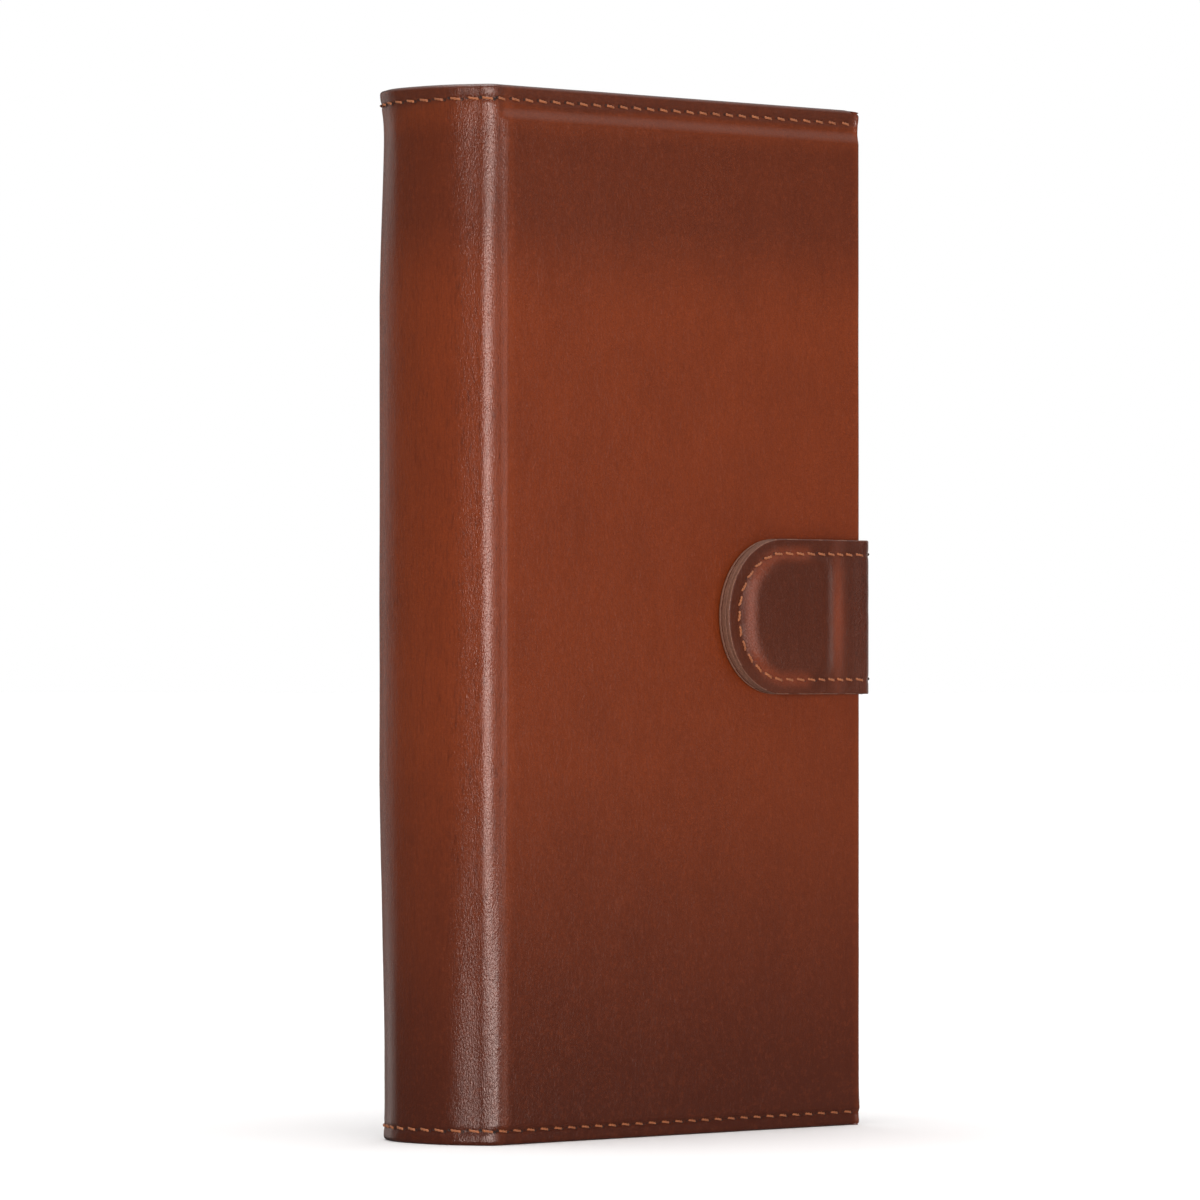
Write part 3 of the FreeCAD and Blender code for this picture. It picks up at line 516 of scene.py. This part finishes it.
def strap_line(t):
    """The strap's inner face seen from above, from the back cover round to the tab's end."""
    t = np.asarray(t, float)
    a = np.clip(t - T_ROOT, 0, None) / GAP
    b = np.clip(t - T_FRONT, 0, None) / TAB_R
    parts = [t < T_ROOT, t < T_SIDE, t < T_FRONT, t < T_TAB]
    x = np.select(parts, [RIGHT - T_ROOT + t, RIGHT + GAP * np.sin(a), RIGHT + GAP + 0 * t,
                          TAB_X + TAB_R * np.cos(b)], TAB_X - (t - T_TAB))
    y = np.select(parts, [ROOT_Y + GAP + 0 * t, ROOT_Y + GAP * np.cos(a), ROOT_Y - (t - T_SIDE),
                          TAB_Y - TAB_R * np.sin(b)], TAB_Y - TAB_R)
    nx = np.select(parts, [0 * t, np.sin(a), 0 * t + 1, np.cos(b)], 0)
    ny = np.select(parts, [0 * t + 1, np.cos(a), 0 * t, -np.sin(b)], -1)
    return x, y, nx, ny


def on_strap(t, w, offset):
    """Points at a distance along the strap, a place across it, and an offset from its inner face."""
    x, y, nx, ny = strap_line(t)
    return np.stack([x + nx * offset, y + ny * offset, MID_Z + w], -1)


def half_width(t, inset=0.0):
    """Half the strap's width, closing to the tab's round end."""
    reach = STRAP_HALF - np.clip(T_TIP - t, 0, STRAP_HALF)
    radius = STRAP_HALF - inset
    return np.sqrt(np.clip(radius ** 2 - np.clip(reach, 0, radius) ** 2, 0, None))


def edge_distance(t, w):
    """How far a place on the strap is from its cut edge."""
    reach = np.clip(t - T_ROUND, 0, None)
    return STRAP_HALF - np.hypot(reach, w)


def plateau(t, w):
    """The D-shaped rise over the magnet: 1 on top, 0 at the foot of its slopes."""
    x = TAB_X - (t - T_TAB)
    along = x - (magnet_low.x + magnet_high.x) / 2
    half_x = (magnet_high.x - magnet_low.x) / 2 + 0.5
    half_z = (magnet_high.z - magnet_low.z) / 2 + 0.3
    radius = np.where(along < 0, *RISE_R)
    qx, qz = np.abs(along) - half_x + radius, np.abs(w) - half_z + radius
    out = np.hypot(np.clip(qx, 0, None), np.clip(qz, 0, None)) + np.minimum(np.maximum(qx, qz), 0) - radius
    return 1 - smooth(out, -0.3, np.where(along < 0, *RISE_SLOPE))


def strap_face(t, w):
    """How far the outer leather's face stands from the strap's inner face."""
    x = TAB_X - (t - T_TAB)
    on_core = smooth(t, T_CORE - 7.0, T_CORE + 1.4)
    ridge = bell(x, core_high.x + 1.4, 1.5) * bell(w, 0, 10.5) * 0.02
    magnet = RISE_SHARE * (magnet_high.y - magnet_low.y - CORE)
    height = STRAP_T + CORE * on_core + (magnet + 0.1) * plateau(t, w) * (t > T_TAB) + ridge * (t > T_TAB)
    dip = TAB_DIP * bell(edge_distance(t, w), TAB_SEAM, 0.5)
    rough = 0.03 * grain(t / 2.6, w / 2.3, 31) + 0.03 * grain(t / 9, w / 7, 33)
    return height - dip + rough


def strap_rise_highlight(t, w):
    """Painted highlight: the foot of the magnet's rise and the ridge beside it are painted lighter, where
    light falls on them.
    """
    x = TAB_X - (t - T_TAB)
    rise = plateau(t, w)
    band = bell(x, core_high.x + 2.2, 1.9) * bell(w, 0, 11) * (t > T_TAB)
    foot = 2.4 * rise * (1 - rise) * (1 - smooth(x, magnet_high.x - 4, magnet_high.x - 1))
    return np.clip(foot + 0.9 * band, 0, 1)


def strap_layer(name, t, low, high, material, raw, inset=0.0):
    """One layer of the strap between two offsets, with softened, raw edges."""
    w = np.sin(np.linspace(-1, 1, 45) * math.pi / 2)
    tt, ww = np.meshgrid(t, w, indexing="ij")
    ww = ww * half_width(tt, inset)
    ww = ww + 0.05 * grain(tt / 5, 0 * ww, 40 + len(name)) * np.abs(ww) / STRAP_HALF
    near = np.clip(edge_distance(tt, ww) - inset, 0, STRAP_EDGE_R)
    drop = rounding(near, STRAP_EDGE_R)
    upper = on_strap(tt, ww, high(tt, ww) - drop)
    lower = on_strap(tt, ww, low(tt, ww) + drop)
    crease = 0.35 + 0.5 * (1 - smooth(tt, T_TAB + 2, T_TAB + 7))
    return slab(name, upper, lower, material, crease, strap_rise_highlight(tt, ww), near < 0.6 * STRAP_EDGE_R, raw)


def tip_lines():
    """Grid lines that crowd towards the round end."""
    angle = np.linspace(math.pi / 2, 0.02, 26)
    return T_TIP - STRAP_HALF * (1 - np.cos(angle))


def flat(height):
    """A layer's face that keeps one offset all over."""
    return lambda t, w: height + 0 * t


def under_skin(t, w):
    """The flesh side of the tab's leather: over the middle layer, and down on to the lining."""
    return np.minimum(STRAP_LINING + CORE * smooth(t, T_CORE - 2.6, T_CORE), strap_face(t, w) - 0.3)


def make_strap(leather, lining, raw):
    """The strap from the back cover to its fold, and the tab from there to its round end."""
    root = spaced((0, 2), (T_ROOT - 0.5, 0.1), (T_SIDE + 1, 1.2), (T_HALF, 1))
    tab = spaced((T_HALF, 1.2), (T_FRONT - 0.5, 0.12), (T_TAB + 0.5, 0.45), (T_ROUND, 1))
    tab = np.concatenate([tab[:-1], tip_lines()])
    core = spaced((T_CORE, 0.3), (T_CORE + 1, 1.2), (T_ROUND, 1))
    core = np.concatenate([core[:-1], tip_lines()])
    shapes = [
        ("strap_root_lining", root, flat(0.0), flat(STRAP_LINING - SHIM), lining, ("strap_lining",)),
        ("strap_root_leather", root, flat(STRAP_LINING + SHIM), strap_face, leather,
         ("strap_root_fold", "strap_leather")),
        ("tab_front_lining", tab, flat(0.0), flat(STRAP_LINING - SHIM), lining, ("tab_lining",)),
        ("tab_front_leather", tab, under_skin, strap_face, leather, ("strap_front_fold", "tab_leather")),
    ]
    for name, t, low, high, material, nodes in shapes:
        piece = strap_layer(name, t, low, high, material, raw)
        if name.startswith("strap_root"):
            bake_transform(piece)
        else:
            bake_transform(piece)
        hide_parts(*nodes)
    piece = strap_layer("tab_middle_layer", core, flat(STRAP_LINING), flat(STRAP_LINING + CORE - SHIM),
                        raw, raw, CORE_INSET)
    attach(piece, "tab")
    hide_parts("tab_core")


def strap_place(w_of):
    """The strap's surface point and outward normal at each distance along it. w_of gives the place across."""
    def place_at(t):
        w = w_of(t)
        tt, ww = np.array([[t]]), np.array([[w]])
        point = on_strap(tt, ww, strap_face(tt, ww))[0, 0]
        _, _, nx, ny = strap_line(np.array(t))
        return point, np.array([float(nx), float(ny), 0.0])
    return place_at


def make_strap_stitching(thread, hole):
    """The seam along both sides of the strap and round the tab's end."""
    track = STRAP_HALF - TAB_SEAM
    root, front = [], []
    for sign in (-1, 1):
        root += run_of(strap_place(lambda t, k=sign: k * track), T_SIDE + 1.2, T_HALF, STRAP_PITCH)
        front += run_of(strap_place(lambda t, k=sign: k * track), T_HALF, T_ROUND, STRAP_PITCH)
    count = round(math.pi * track / STRAP_PITCH)
    for i in range(count):
        a = math.pi * (i + 0.5) / count
        t, w = T_ROUND + track * math.sin(a), track * math.cos(a)
        place, outward = strap_place(lambda _, v=w: v)(t)
        along = np.array([-math.cos(a), 0.0, -math.sin(a)])
        front.append((place, along, outward))
    for piece in sew("strap_root_stitching", root, thread, hole):
        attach(piece, "strap")
        if piece.name == "strap_root_stitching":
            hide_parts("strap_stitching")
    for piece in sew("tab_front_stitching", front, thread, hole):
        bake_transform(piece)
        if piece.name == "tab_front_stitching":
            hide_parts("tab_stitching")


def make_anchor_stitching(thread, hole):
    """The box of stitches on the back cover that holds the strap's root."""
    low, high = mm_box("strap_anchor_stitching")
    corners = [(low.x, low.z), (high.x, low.z), (high.x, high.z), (low.x, high.z)]
    stitches = []
    for (x0, z0), (x1, z1) in zip(corners, corners[1:] + corners[:1]):
        length = math.hypot(x1 - x0, z1 - z0)

        def place_at(t, x0=x0, z0=z0, dx=(x1 - x0) / length, dz=(z1 - z0) / length):
            x, z = x0 + dx * t, z0 + dz * t
            s = S_FLAT + x - BEND_X
            depth = skin_depth(np.array([[s]]), np.array([[z]]), 1)[0, 0]
            return np.array([x, BACK - depth, z]), np.array([0.0, 1.0, 0.0])
        stitches += run_of(place_at, 0.3, length - 0.3)
    pieces = sew("strap_anchor_seam", stitches, thread, hole)
    for piece in pieces:
        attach(piece, "back_cover")
    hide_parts("strap_anchor_stitching")


# ---- Pockets
def pocket_sheet(name, node, thumb, material):
    """A pocket's face: a thin sheet with soft edges, a creased line under its mouth and a thumb curve."""
    low, high = mm_box(node)
    across = spaced((low.x, 0.12), (low.x + 0.5, 1.1), (high.x - 0.5, 0.12), (high.x, 1))
    up = spaced((0, 0.004), (0.01, 0.02), (0.95, 0.004), (1, 1))
    x, v = np.meshgrid(across, up, indexing="ij")
    middle = (low.x + high.x) / 2
    dip = thumb * smooth(9.0 - np.abs(x - middle), 0, 7.5)
    z = low.z + (high.z - low.z - dip) * v
    near = np.minimum(np.minimum(x - low.x, high.x - x), np.minimum(z - low.z, high.z - dip - z))
    drop = rounding(near, POCKET_R)
    crease = 0.1 * bell(high.z - dip - z, 1.6, 0.35) if thumb else 0.0
    rough = 0.02 * grain(x / 5, z / 5, 50 + low.z)
    upper = np.stack([x, high.y - drop - crease - FACE_INSET + rough, z], -1)
    lower = np.stack([x, high.y - POCKET + drop, z], -1)
    piece = slab(name, upper, lower, material)
    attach(piece, "front_cover")
    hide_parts(node)


def straight_seam(start, end, y, first, last):
    """Stitches between two (x, z) places, from first after the one to last before the other."""
    (x0, z0), (x1, z1) = start, end
    length = math.hypot(x1 - x0, z1 - z0)

    def place_at(t):
        place = np.array([x0 + (x1 - x0) * t / length, y, z0 + (z1 - z0) * t / length])
        return place, np.array([0.0, 1.0, 0.0])
    return run_of(place_at, first, length - last)


def make_pockets(material, thread, hole):
    """The pocket for notes, the four card pockets and their seams."""
    low, high = mm_box("cash_pocket")
    pocket_sheet("cash_pocket_panel", "cash_pocket", 0.0, material)
    stitches = []
    y = high.y - THREAD_IN
    for z in (low.z + POCKET_SEAM, high.z - POCKET_SEAM):
        stitches += straight_seam((low.x, z), (high.x, z), y, 1.5, 1.5)
    edge = high.x - POCKET_SEAM
    stitches += straight_seam((edge, low.z), (edge, high.z), y, 3.5, 3.5)
    for i in range(1, 5):
        low, high = mm_box(f"card_pocket_{i}")
        pocket_sheet(f"card_pocket_{i}_face", f"card_pocket_{i}", THUMB, material)
    y = high.y - THREAD_IN
    for x in (low.x + POCKET_SEAM, high.x - POCKET_SEAM):
        stitches += straight_seam((x, low.z), (x, high.z), y, 3.0, 0.5)
    foot = low.z + POCKET_SEAM
    stitches += straight_seam((low.x, foot), (high.x, foot), y, 3.0, 3.0)
    pieces = sew("pocket_seams", stitches, thread, hole, holes_too=False)
    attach(pieces[0], "front_cover")
    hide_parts("pocket_stitching")


# ---- Materials
def srgb(*c):
    """A colour given as 0 to 255 display values."""
    return tuple(((v / 255 + 0.055) / 1.055) ** 2.4 if v > 10 else v / 255 / 12.92 for v in c) + (1.0,)


WOBBLE = 5.0                # how far the height bands of colour (on the covers partly painted reflection and highlight) wander from their height, in millimetres


class Nodes:
    """A short way to write a node material."""

    def __init__(self, name):
        self.material = bpy.data.materials.new(name)
        self.material.use_nodes = True
        self.tree = self.material.node_tree
        self.shader = self.tree.nodes["Principled BSDF"]

    def add(self, kind, **inputs):
        node = self.tree.nodes.new("ShaderNode" + kind)
        for key, value in inputs.items():
            key = key.replace("_", " ")
            if isinstance(value, bpy.types.NodeSocket):
                self.tree.links.new(value, node.inputs[key])
            else:
                node.inputs[key].default_value = value
        return node

    def math(self, operation, a, b):
        node = self.tree.nodes.new("ShaderNodeMath")
        node.operation = operation
        for socket, value in zip(node.inputs, (a, b)):
            if isinstance(value, bpy.types.NodeSocket):
                self.tree.links.new(value, socket)
            else:
                socket.default_value = value
        return node.outputs[0]

    def rest(self, stored):
        """Resting place in millimetres: stored on built pieces, and the object's own space on CAD nodes."""
        if stored:
            node = self.tree.nodes.new("ShaderNodeAttribute")
            node.attribute_name = "rest"
            return node.outputs["Vector"]
        node = self.tree.nodes.new("ShaderNodeVectorMath")
        node.operation = "SCALE"
        node.inputs["Scale"].default_value = 1 / MM
        self.tree.links.new(self.tree.nodes.new("ShaderNodeTexCoord").outputs["Object"], node.inputs[0])
        return node.outputs[0]

    def field(self, name):
        """A number stored at each point of a built mesh."""
        node = self.tree.nodes.new("ShaderNodeAttribute")
        node.attribute_name = name
        return node.outputs["Fac"]

    def mask(self, value, low, high):
        """0 below low, 1 above high."""
        return self.ramp(value, [(low, (0, 0, 0, 1)), (high, (1, 1, 1, 1))])

    def stretched(self, place, scale):
        """A place with each axis scaled by its own factor."""
        node = self.tree.nodes.new("ShaderNodeVectorMath")
        node.operation = "MULTIPLY"
        node.inputs[1].default_value = scale
        self.tree.links.new(place, node.inputs[0])
        return node.outputs[0]

    def noise(self, place, scale, detail=3.0, rough=0.5):
        node = self.add("TexNoise", Vector=place, Scale=scale, Detail=detail, Roughness=rough)
        return node.outputs["Fac"]

    def cells(self, place, scale):
        """Distance to the nearest border of a pattern of cells."""
        node = self.tree.nodes.new("ShaderNodeTexVoronoi")
        node.feature = "DISTANCE_TO_EDGE"
        node.inputs["Scale"].default_value = scale
        self.tree.links.new(place, node.inputs["Vector"])
        return node.outputs["Distance"]

    def ramp(self, value, stops):
        """A colour ramp: stops are (value, colour)."""
        node = self.tree.nodes.new("ShaderNodeValToRGB")
        elements = node.color_ramp.elements
        while len(elements) < len(stops):
            elements.new(0.5)
        for element, (place, colour) in zip(elements, stops):
            element.position = place
            element.color = colour
        self.tree.links.new(value, node.inputs[0])
        return node.outputs[0]

    def mix(self, factor, a, b):
        node = self.tree.nodes.new("ShaderNodeMix")
        node.data_type = "RGBA"
        for socket, value in zip((node.inputs[0], node.inputs[6], node.inputs[7]), (factor, a, b)):
            if isinstance(value, bpy.types.NodeSocket):
                self.tree.links.new(value, socket)
            else:
                socket.default_value = value
        return node.outputs[2]

    def bump(self, height, strength, distance, before=None):
        """A bumped normal. The distance is in millimetres."""
        node = self.add("Bump", Height=height, Strength=strength, Distance=distance * MM)
        if before is not None:
            self.tree.links.new(before, node.inputs["Normal"])
        return node.outputs[0]

    def set(self, **inputs):
        for key, value in inputs.items():
            key = key.replace("_", " ")
            if isinstance(value, bpy.types.NodeSocket):
                self.tree.links.new(value, self.shader.inputs[key])
            else:
                self.shader.inputs[key].default_value = value
        return self.material


def height_ramp(n, place, stops):
    """A colour that follows the height up the case, in bands that wander a little: stops are (millimetres,
    colour).
    """
    parts = n.tree.nodes.new("ShaderNodeSeparateXYZ")
    n.tree.links.new(place, parts.inputs[0])
    wobble = n.math("MULTIPLY", n.noise(n.stretched(place, (0.03, 0.03, 0.012)), 1.0, 2.0), WOBBLE)
    height = n.math("ADD", parts.outputs["Z"], n.math("SUBTRACT", wobble, WOBBLE / 2))
    return n.ramp(n.math("DIVIDE", height, HEIGHT), [(z / HEIGHT, colour) for z, colour in stops])


def leather(name, stops, dark, light, roughness, coat, coat_roughness, pores_per_mm, stored=True):
    """Burnished leather: colour up the height (on the covers with painted reflection and highlight bands),
    faint mottling, pores, fold grain and a waxed coat.
    """
    n = Nodes(name)
    place = n.rest(stored)
    crease = n.field("crease") if stored else 0.3
    wear_and_highlight = n.field("wear_and_highlight") if stored else 0.0
    base = height_ramp(n, place, stops)
    cloud = n.noise(n.stretched(place, (0.05, 0.05, 0.035)), 1.6, 5.0, 0.62)
    base = n.mix(n.math("MULTIPLY", n.mask(cloud, 0.42, 0.8), 0.22), base, dark)
    fine = n.noise(place, 1.3, 5.0, 0.68)
    base = n.mix(n.math("MULTIPLY", n.mask(fine, 0.5, 0.8), 0.16), base, light)
    base = n.mix(n.math("MULTIPLY", n.mask(n.noise(place, 2.8, 2.0), 0.55, 0.75), 0.16), base, dark)
    streaks = n.noise(n.stretched(place, (2.6, 2.6, 0.4)), 1.0, 3.0, 0.6)
    base = n.mix(n.math("MULTIPLY", n.mask(streaks, 0.5, 0.72), n.math("MULTIPLY", crease, 0.5)), base, dark)
    # Lighter by the wear field: on the covers along the board's edge and at the free edge, and on the tab a
    # painted highlight over the magnet's rise and the ridge.
    base = n.mix(n.math("MULTIPLY", wear_and_highlight, n.math("ADD", n.math("MULTIPLY", fine, 0.6), 0.5)), base, light)
    pores = n.mask(n.cells(place, pores_per_mm), 0.0, 0.12)
    base = n.mix(n.math("MULTIPLY", n.math("SUBTRACT", 1.0, pores), 0.12), base, dark)
    uneven = n.math("ADD", roughness, n.math("MULTIPLY", n.math("SUBTRACT", fine, 0.5), 0.25))
    folded = n.noise(n.stretched(place, (4.6, 4.6, 1.7)), 1.0, 3.0, 0.6)
    normal = n.bump(n.math("MULTIPLY", folded, crease), 1.0, 0.085)
    normal = n.bump(pores, 1.0, 0.01, normal)
    normal = n.bump(n.noise(n.stretched(place, (0.35, 0.35, 0.25)), 1.0, 4.0, 0.6), 1.0, 0.09, normal)
    return n.set(Base_Color=base, Roughness=uneven, Coat_Weight=coat, Coat_Roughness=coat_roughness,
                 Coat_IOR=1.5, Specular_IOR_Level=0.08, Normal=normal, Coat_Normal=normal)


def raw_edge(name):
    """Cut leather: fibrous and tan."""
    n = Nodes(name)
    place = n.rest(True)
    fibre = n.noise(n.stretched(place, (1.5, 4.0, 1.5)), 1.4, 5.0, 0.7)
    colour = n.ramp(fibre, [(0.3, srgb(78, 50, 38)), (0.55, srgb(108, 74, 57)), (0.8, srgb(134, 96, 74))])
    return n.set(Base_Color=colour, Roughness=0.7, Normal=n.bump(fibre, 0.5, 0.25))


def thread_material():
    n = Nodes("waxed_thread")
    place = n.rest(True)
    fibre = n.noise(n.stretched(place, (5.0, 5.0, 5.0)), 1.4, 4.0, 0.7)
    patch = n.noise(place, 0.18, 2.0)
    colour = n.mix(patch, srgb(176, 110, 60), srgb(126, 70, 36))
    colour = n.mix(n.math("MULTIPLY", fibre, 0.6), colour, srgb(88, 48, 28))
    return n.set(Base_Color=colour, Roughness=0.55, Sheen_Weight=0.05, Normal=n.bump(fibre, 0.5, 0.12))


def plain(name, low, high, roughness, scale, metallic=0.0, bump=0.2, stored=False, stretch=(1, 1, 1)):
    """A simple procedural finish: fine noise in colour, gloss and bump."""
    n = Nodes(name)
    place = n.stretched(n.rest(stored), stretch)
    fine = n.noise(place, scale, 4.0, 0.6)
    rough = n.math("ADD", roughness, n.math("MULTIPLY", n.math("SUBTRACT", fine, 0.5), 0.2))
    return n.set(Base_Color=n.ramp(fine, [(0.3, low), (0.7, high)]), Roughness=rough, Metallic=metallic,
                 Normal=n.bump(fine, bump, 0.1))


def make_materials():
    # On the covers: a painted dark reflection from 147 to 160 mm, a painted highlight on the slope from the
    # board down to the head's hem (162.2 to 164.6 mm), darker towards the foot, and darker on the hem above
    # the head's seam.
    cover_tone_and_painted_light = [
        (0, srgb(64, 29, 17)), (12, srgb(70, 30, 15)), (22, srgb(77, 33, 16)), (38, srgb(88, 38, 17)),
        (60, srgb(102, 44, 18)), (100, srgb(104, 44, 17)), (132, srgb(105, 45, 18)), (138, srgb(100, 43, 18)),
        (147, srgb(86, 37, 17)), (160, srgb(84, 36, 16)), (162.2, srgb(92, 40, 17)),
        (164.6, srgb(94, 42, 18)), (165.6, srgb(74, 35, 20)), (168, srgb(76, 37, 22))]
    strap_stops = [(70, srgb(76, 38, 24)), (84, srgb(70, 32, 18)), (97, srgb(68, 32, 19))]
    lining_stops = [(0, srgb(78, 38, 22)), (84, srgb(104, 50, 26)), (168, srgb(80, 38, 22))]
    return {
        "cover": leather("cover_leather", cover_tone_and_painted_light, srgb(54, 20, 11), srgb(150, 72, 34),
                         roughness=0.42, coat=1.0, coat_roughness=0.17, pores_per_mm=1.5),
        "strap": leather("strap_leather", strap_stops, srgb(46, 20, 12), srgb(122, 58, 34),
                         roughness=0.4, coat=1.0, coat_roughness=0.16, pores_per_mm=1.7),
        "lining": leather("lining_leather", lining_stops, srgb(58, 26, 15), srgb(132, 70, 40),
                          roughness=0.55, coat=0.25, coat_roughness=0.4, pores_per_mm=1.3),
        "under": leather("strap_lining_leather", strap_stops, srgb(48, 26, 18), srgb(120, 84, 58),
                         roughness=0.6, coat=0.1, coat_roughness=0.4, pores_per_mm=1.6),
        "shell": leather("shell_leather", lining_stops, srgb(58, 26, 15), srgb(132, 70, 40),
                         roughness=0.5, coat=0.35, coat_roughness=0.35, pores_per_mm=1.4, stored=False),
        "raw": raw_edge("raw_leather_edge"),
        "thread": thread_material(),
        # Needle holes are coloured near black: painted shade in the holes.
        "hole": plain("needle_hole_painted_shade", srgb(20, 8, 5), srgb(40, 18, 10), 0.7, 2.0, stored=True),
        "board": plain("fibre_board", srgb(92, 78, 62), srgb(130, 112, 90), 0.85, 1.2),
        "foam": plain("foam", srgb(38, 38, 40), srgb(60, 60, 62), 0.9, 2.5, bump=0.5),
        "magnet": plain("nickel_plate", srgb(170, 170, 174), srgb(205, 205, 208), 0.3, 0.6, metallic=1.0),
        "steel": plain("sheet_steel", srgb(140, 140, 144), srgb(176, 176, 180), 0.4, 0.8, metallic=1.0,
                       stretch=(0.2, 1, 3)),
        "plastic": plain("shell_plastic", srgb(16, 16, 17), srgb(30, 30, 32), 0.55, 5.0, bump=0.35),
        "felt": plain("microfibre", srgb(44, 30, 24), srgb(72, 50, 38), 0.95, 6.0, bump=0.6),
    }


def dress_cad(made):
    """Finishes for the CAD nodes that stay in view or inside."""
    finishes = {
        "back_cover_board": "board", "front_cover_board": "board", "spine_stiffener": "board",
        "magnet_carrier": "foam", "front_cover_pad": "foam",
        "holding_magnets": "magnet", "tab_magnet": "magnet",
        "closure_plate": "steel", "phone_shell_plate": "steel", "phone_shell_tray": "plastic",
        "phone_shell_leather": "shell", "phone_shell_felt": "felt", "strap_anchor": "shell",
    }
    for node, finish in finishes.items():
        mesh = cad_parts[node].data
        mesh.materials.clear()
        mesh.materials.append(made[finish])


# ---- Studio
LENS = 231.7
CAMERA_BACK = Vector((-845.4, -879.7, 0.0))     # from the front fold to the camera, in plan
CAMERA_HEIGHT = 73.7
CAMERA_YAW = 45.3           # degrees from +X
CAMERA_TILT = 0.59
FLOOR_SIZE = 60             # metres
SUN_STRENGTH, SUN_SPREAD = 2.8, 60
FILL, REFLECTED = 0.3, 0.05         # the surround's strength on matt surfaces, and in level reflections
ABOVE = 0.9                 # its strength in reflections from straight above
ABOVE_FROM, ABOVE_TO = 0.25, 0.9    # the Z of the ray's direction where that begins, and where it is full
WARM = (1.0, 0.78, 0.72)    # the panels' tint
# The upright soft panels: compass angle, then distance, foot, head and width in metres, and radiance
PANELS = {
    "key_panel": (230, 1.5, -0.15, 0.4, 1.15, 11.0),
    "right_panel": (290, 1.2, -0.15, 0.4, 0.34, 2.4),
    "back_panel": (78, 1.3, -0.15, 0.5, 0.8, 0.4),
    "side_panel": (10, 1.3, -0.15, 0.5, 0.8, 0.7),
}


def make_camera():
    """A long lens level with the case, seeing its spine and front cover alike."""
    away = CAMERA_BACK.normalized()
    nearest = Vector((BEND_X, FRONT + CORNER_R, 0)) + away * CORNER_R
    camera = bpy.data.objects.new("camera", bpy.data.cameras.new("camera"))
    camera.data.lens = LENS
    camera.data.clip_end = 50
    camera.location = (nearest + CAMERA_BACK + Vector((0, 0, CAMERA_HEIGHT))) * MM
    yaw, tilt = math.radians(CAMERA_YAW), math.radians(CAMERA_TILT)
    look = Vector((math.cos(yaw), math.sin(yaw), math.tan(tilt)))
    camera.rotation_euler = look.to_track_quat("-Z", "Y").to_euler()
    bpy.context.scene.collection.objects.link(camera)
    bpy.context.scene.camera = camera


def panel(name, angle, distance, low, high, width, radiance):
    """An upright soft panel at a compass angle round the case (degrees from +X), facing its middle."""
    light = bpy.data.lights.new(name, "AREA")
    light.shape = "RECTANGLE"
    light.size, light.size_y = width, high - low
    light.energy = radiance * math.pi * width * (high - low)
    light.color = WARM
    obj = bpy.data.objects.new(name, light)
    a = math.radians(angle)
    obj.location = (distance * math.cos(a), distance * math.sin(a), (low + high) / 2)
    obj.rotation_euler = Vector((-math.cos(a), -math.sin(a), 0)).to_track_quat("-Z", "Y").to_euler()
    obj.visible_camera = False
    bpy.context.scene.collection.objects.link(obj)


def make_surround():
    """White to the camera, a soft fill for matt surfaces, and dim for reflections except overhead."""
    world = bpy.data.worlds.new("studio")
    world.use_nodes = True
    tree = world.node_tree
    background = tree.nodes["Background"]
    place = tree.nodes.new("ShaderNodeTexCoord")
    parts = tree.nodes.new("ShaderNodeSeparateXYZ")
    tree.links.new(place.outputs["Generated"], parts.inputs[0])
    overhead = tree.nodes.new("ShaderNodeMapRange")
    for socket, value in zip(list(overhead.inputs)[1:5], (ABOVE_FROM, ABOVE_TO, REFLECTED, ABOVE)):
        socket.default_value = value
    tree.links.new(parts.outputs["Z"], overhead.inputs["Value"])
    path = tree.nodes.new("ShaderNodeLightPath")
    glossy, camera = tree.nodes.new("ShaderNodeMix"), tree.nodes.new("ShaderNodeMix")
    glossy.inputs[2].default_value = FILL
    camera.inputs[3].default_value = 1.0
    tree.links.new(path.outputs["Is Glossy Ray"], glossy.inputs[0])
    tree.links.new(overhead.outputs["Result"], glossy.inputs[3])
    tree.links.new(path.outputs["Is Camera Ray"], camera.inputs[0])
    tree.links.new(glossy.outputs[0], camera.inputs[2])
    tree.links.new(camera.outputs[0], background.inputs["Strength"])
    background.inputs["Color"].default_value = (1, 1, 1, 1)
    bpy.context.scene.world = world


def make_studio():
    """Pale floor evenly lit from above, soft upright panels round the case, and a white surround."""
    n = Nodes("pale_floor")
    tone = n.noise(n.rest(False), 0.004, 2.0)
    material = n.set(Base_Color=n.ramp(tone, [(0.3, (0.9, 0.9, 0.9, 1)), (0.7, (0.93, 0.93, 0.93, 1))]),
                     Roughness=0.8, Specular_IOR_Level=0.1)
    bpy.ops.mesh.primitive_plane_add(size=FLOOR_SIZE)
    floor = bpy.context.object
    floor.name = "floor"
    floor.data.materials.append(material)
    floor.visible_glossy = False
    floor.visible_shadow = False
    sun = bpy.data.lights.new("overhead", "SUN")
    sun.energy = SUN_STRENGTH
    sun.angle = math.radians(SUN_SPREAD)
    bpy.context.scene.collection.objects.link(bpy.data.objects.new("overhead", sun))
    for name, values in PANELS.items():
        panel(name, *values)
    make_surround()
    bpy.context.scene.view_settings.view_transform = "Standard"


made = make_materials()
make_camera()
make_studio()
make_skins(made["cover"])
make_linings(made["lining"])
make_hem_stitching(made["thread"], made["hole"])
make_strap(made["strap"], made["under"], made["raw"])
make_strap_stitching(made["thread"], made["hole"])
make_anchor_stitching(made["thread"], made["hole"])
make_pockets(made["lining"], made["thread"], made["hole"])
dress_cad(made)

bpy.context.view_layer.update()
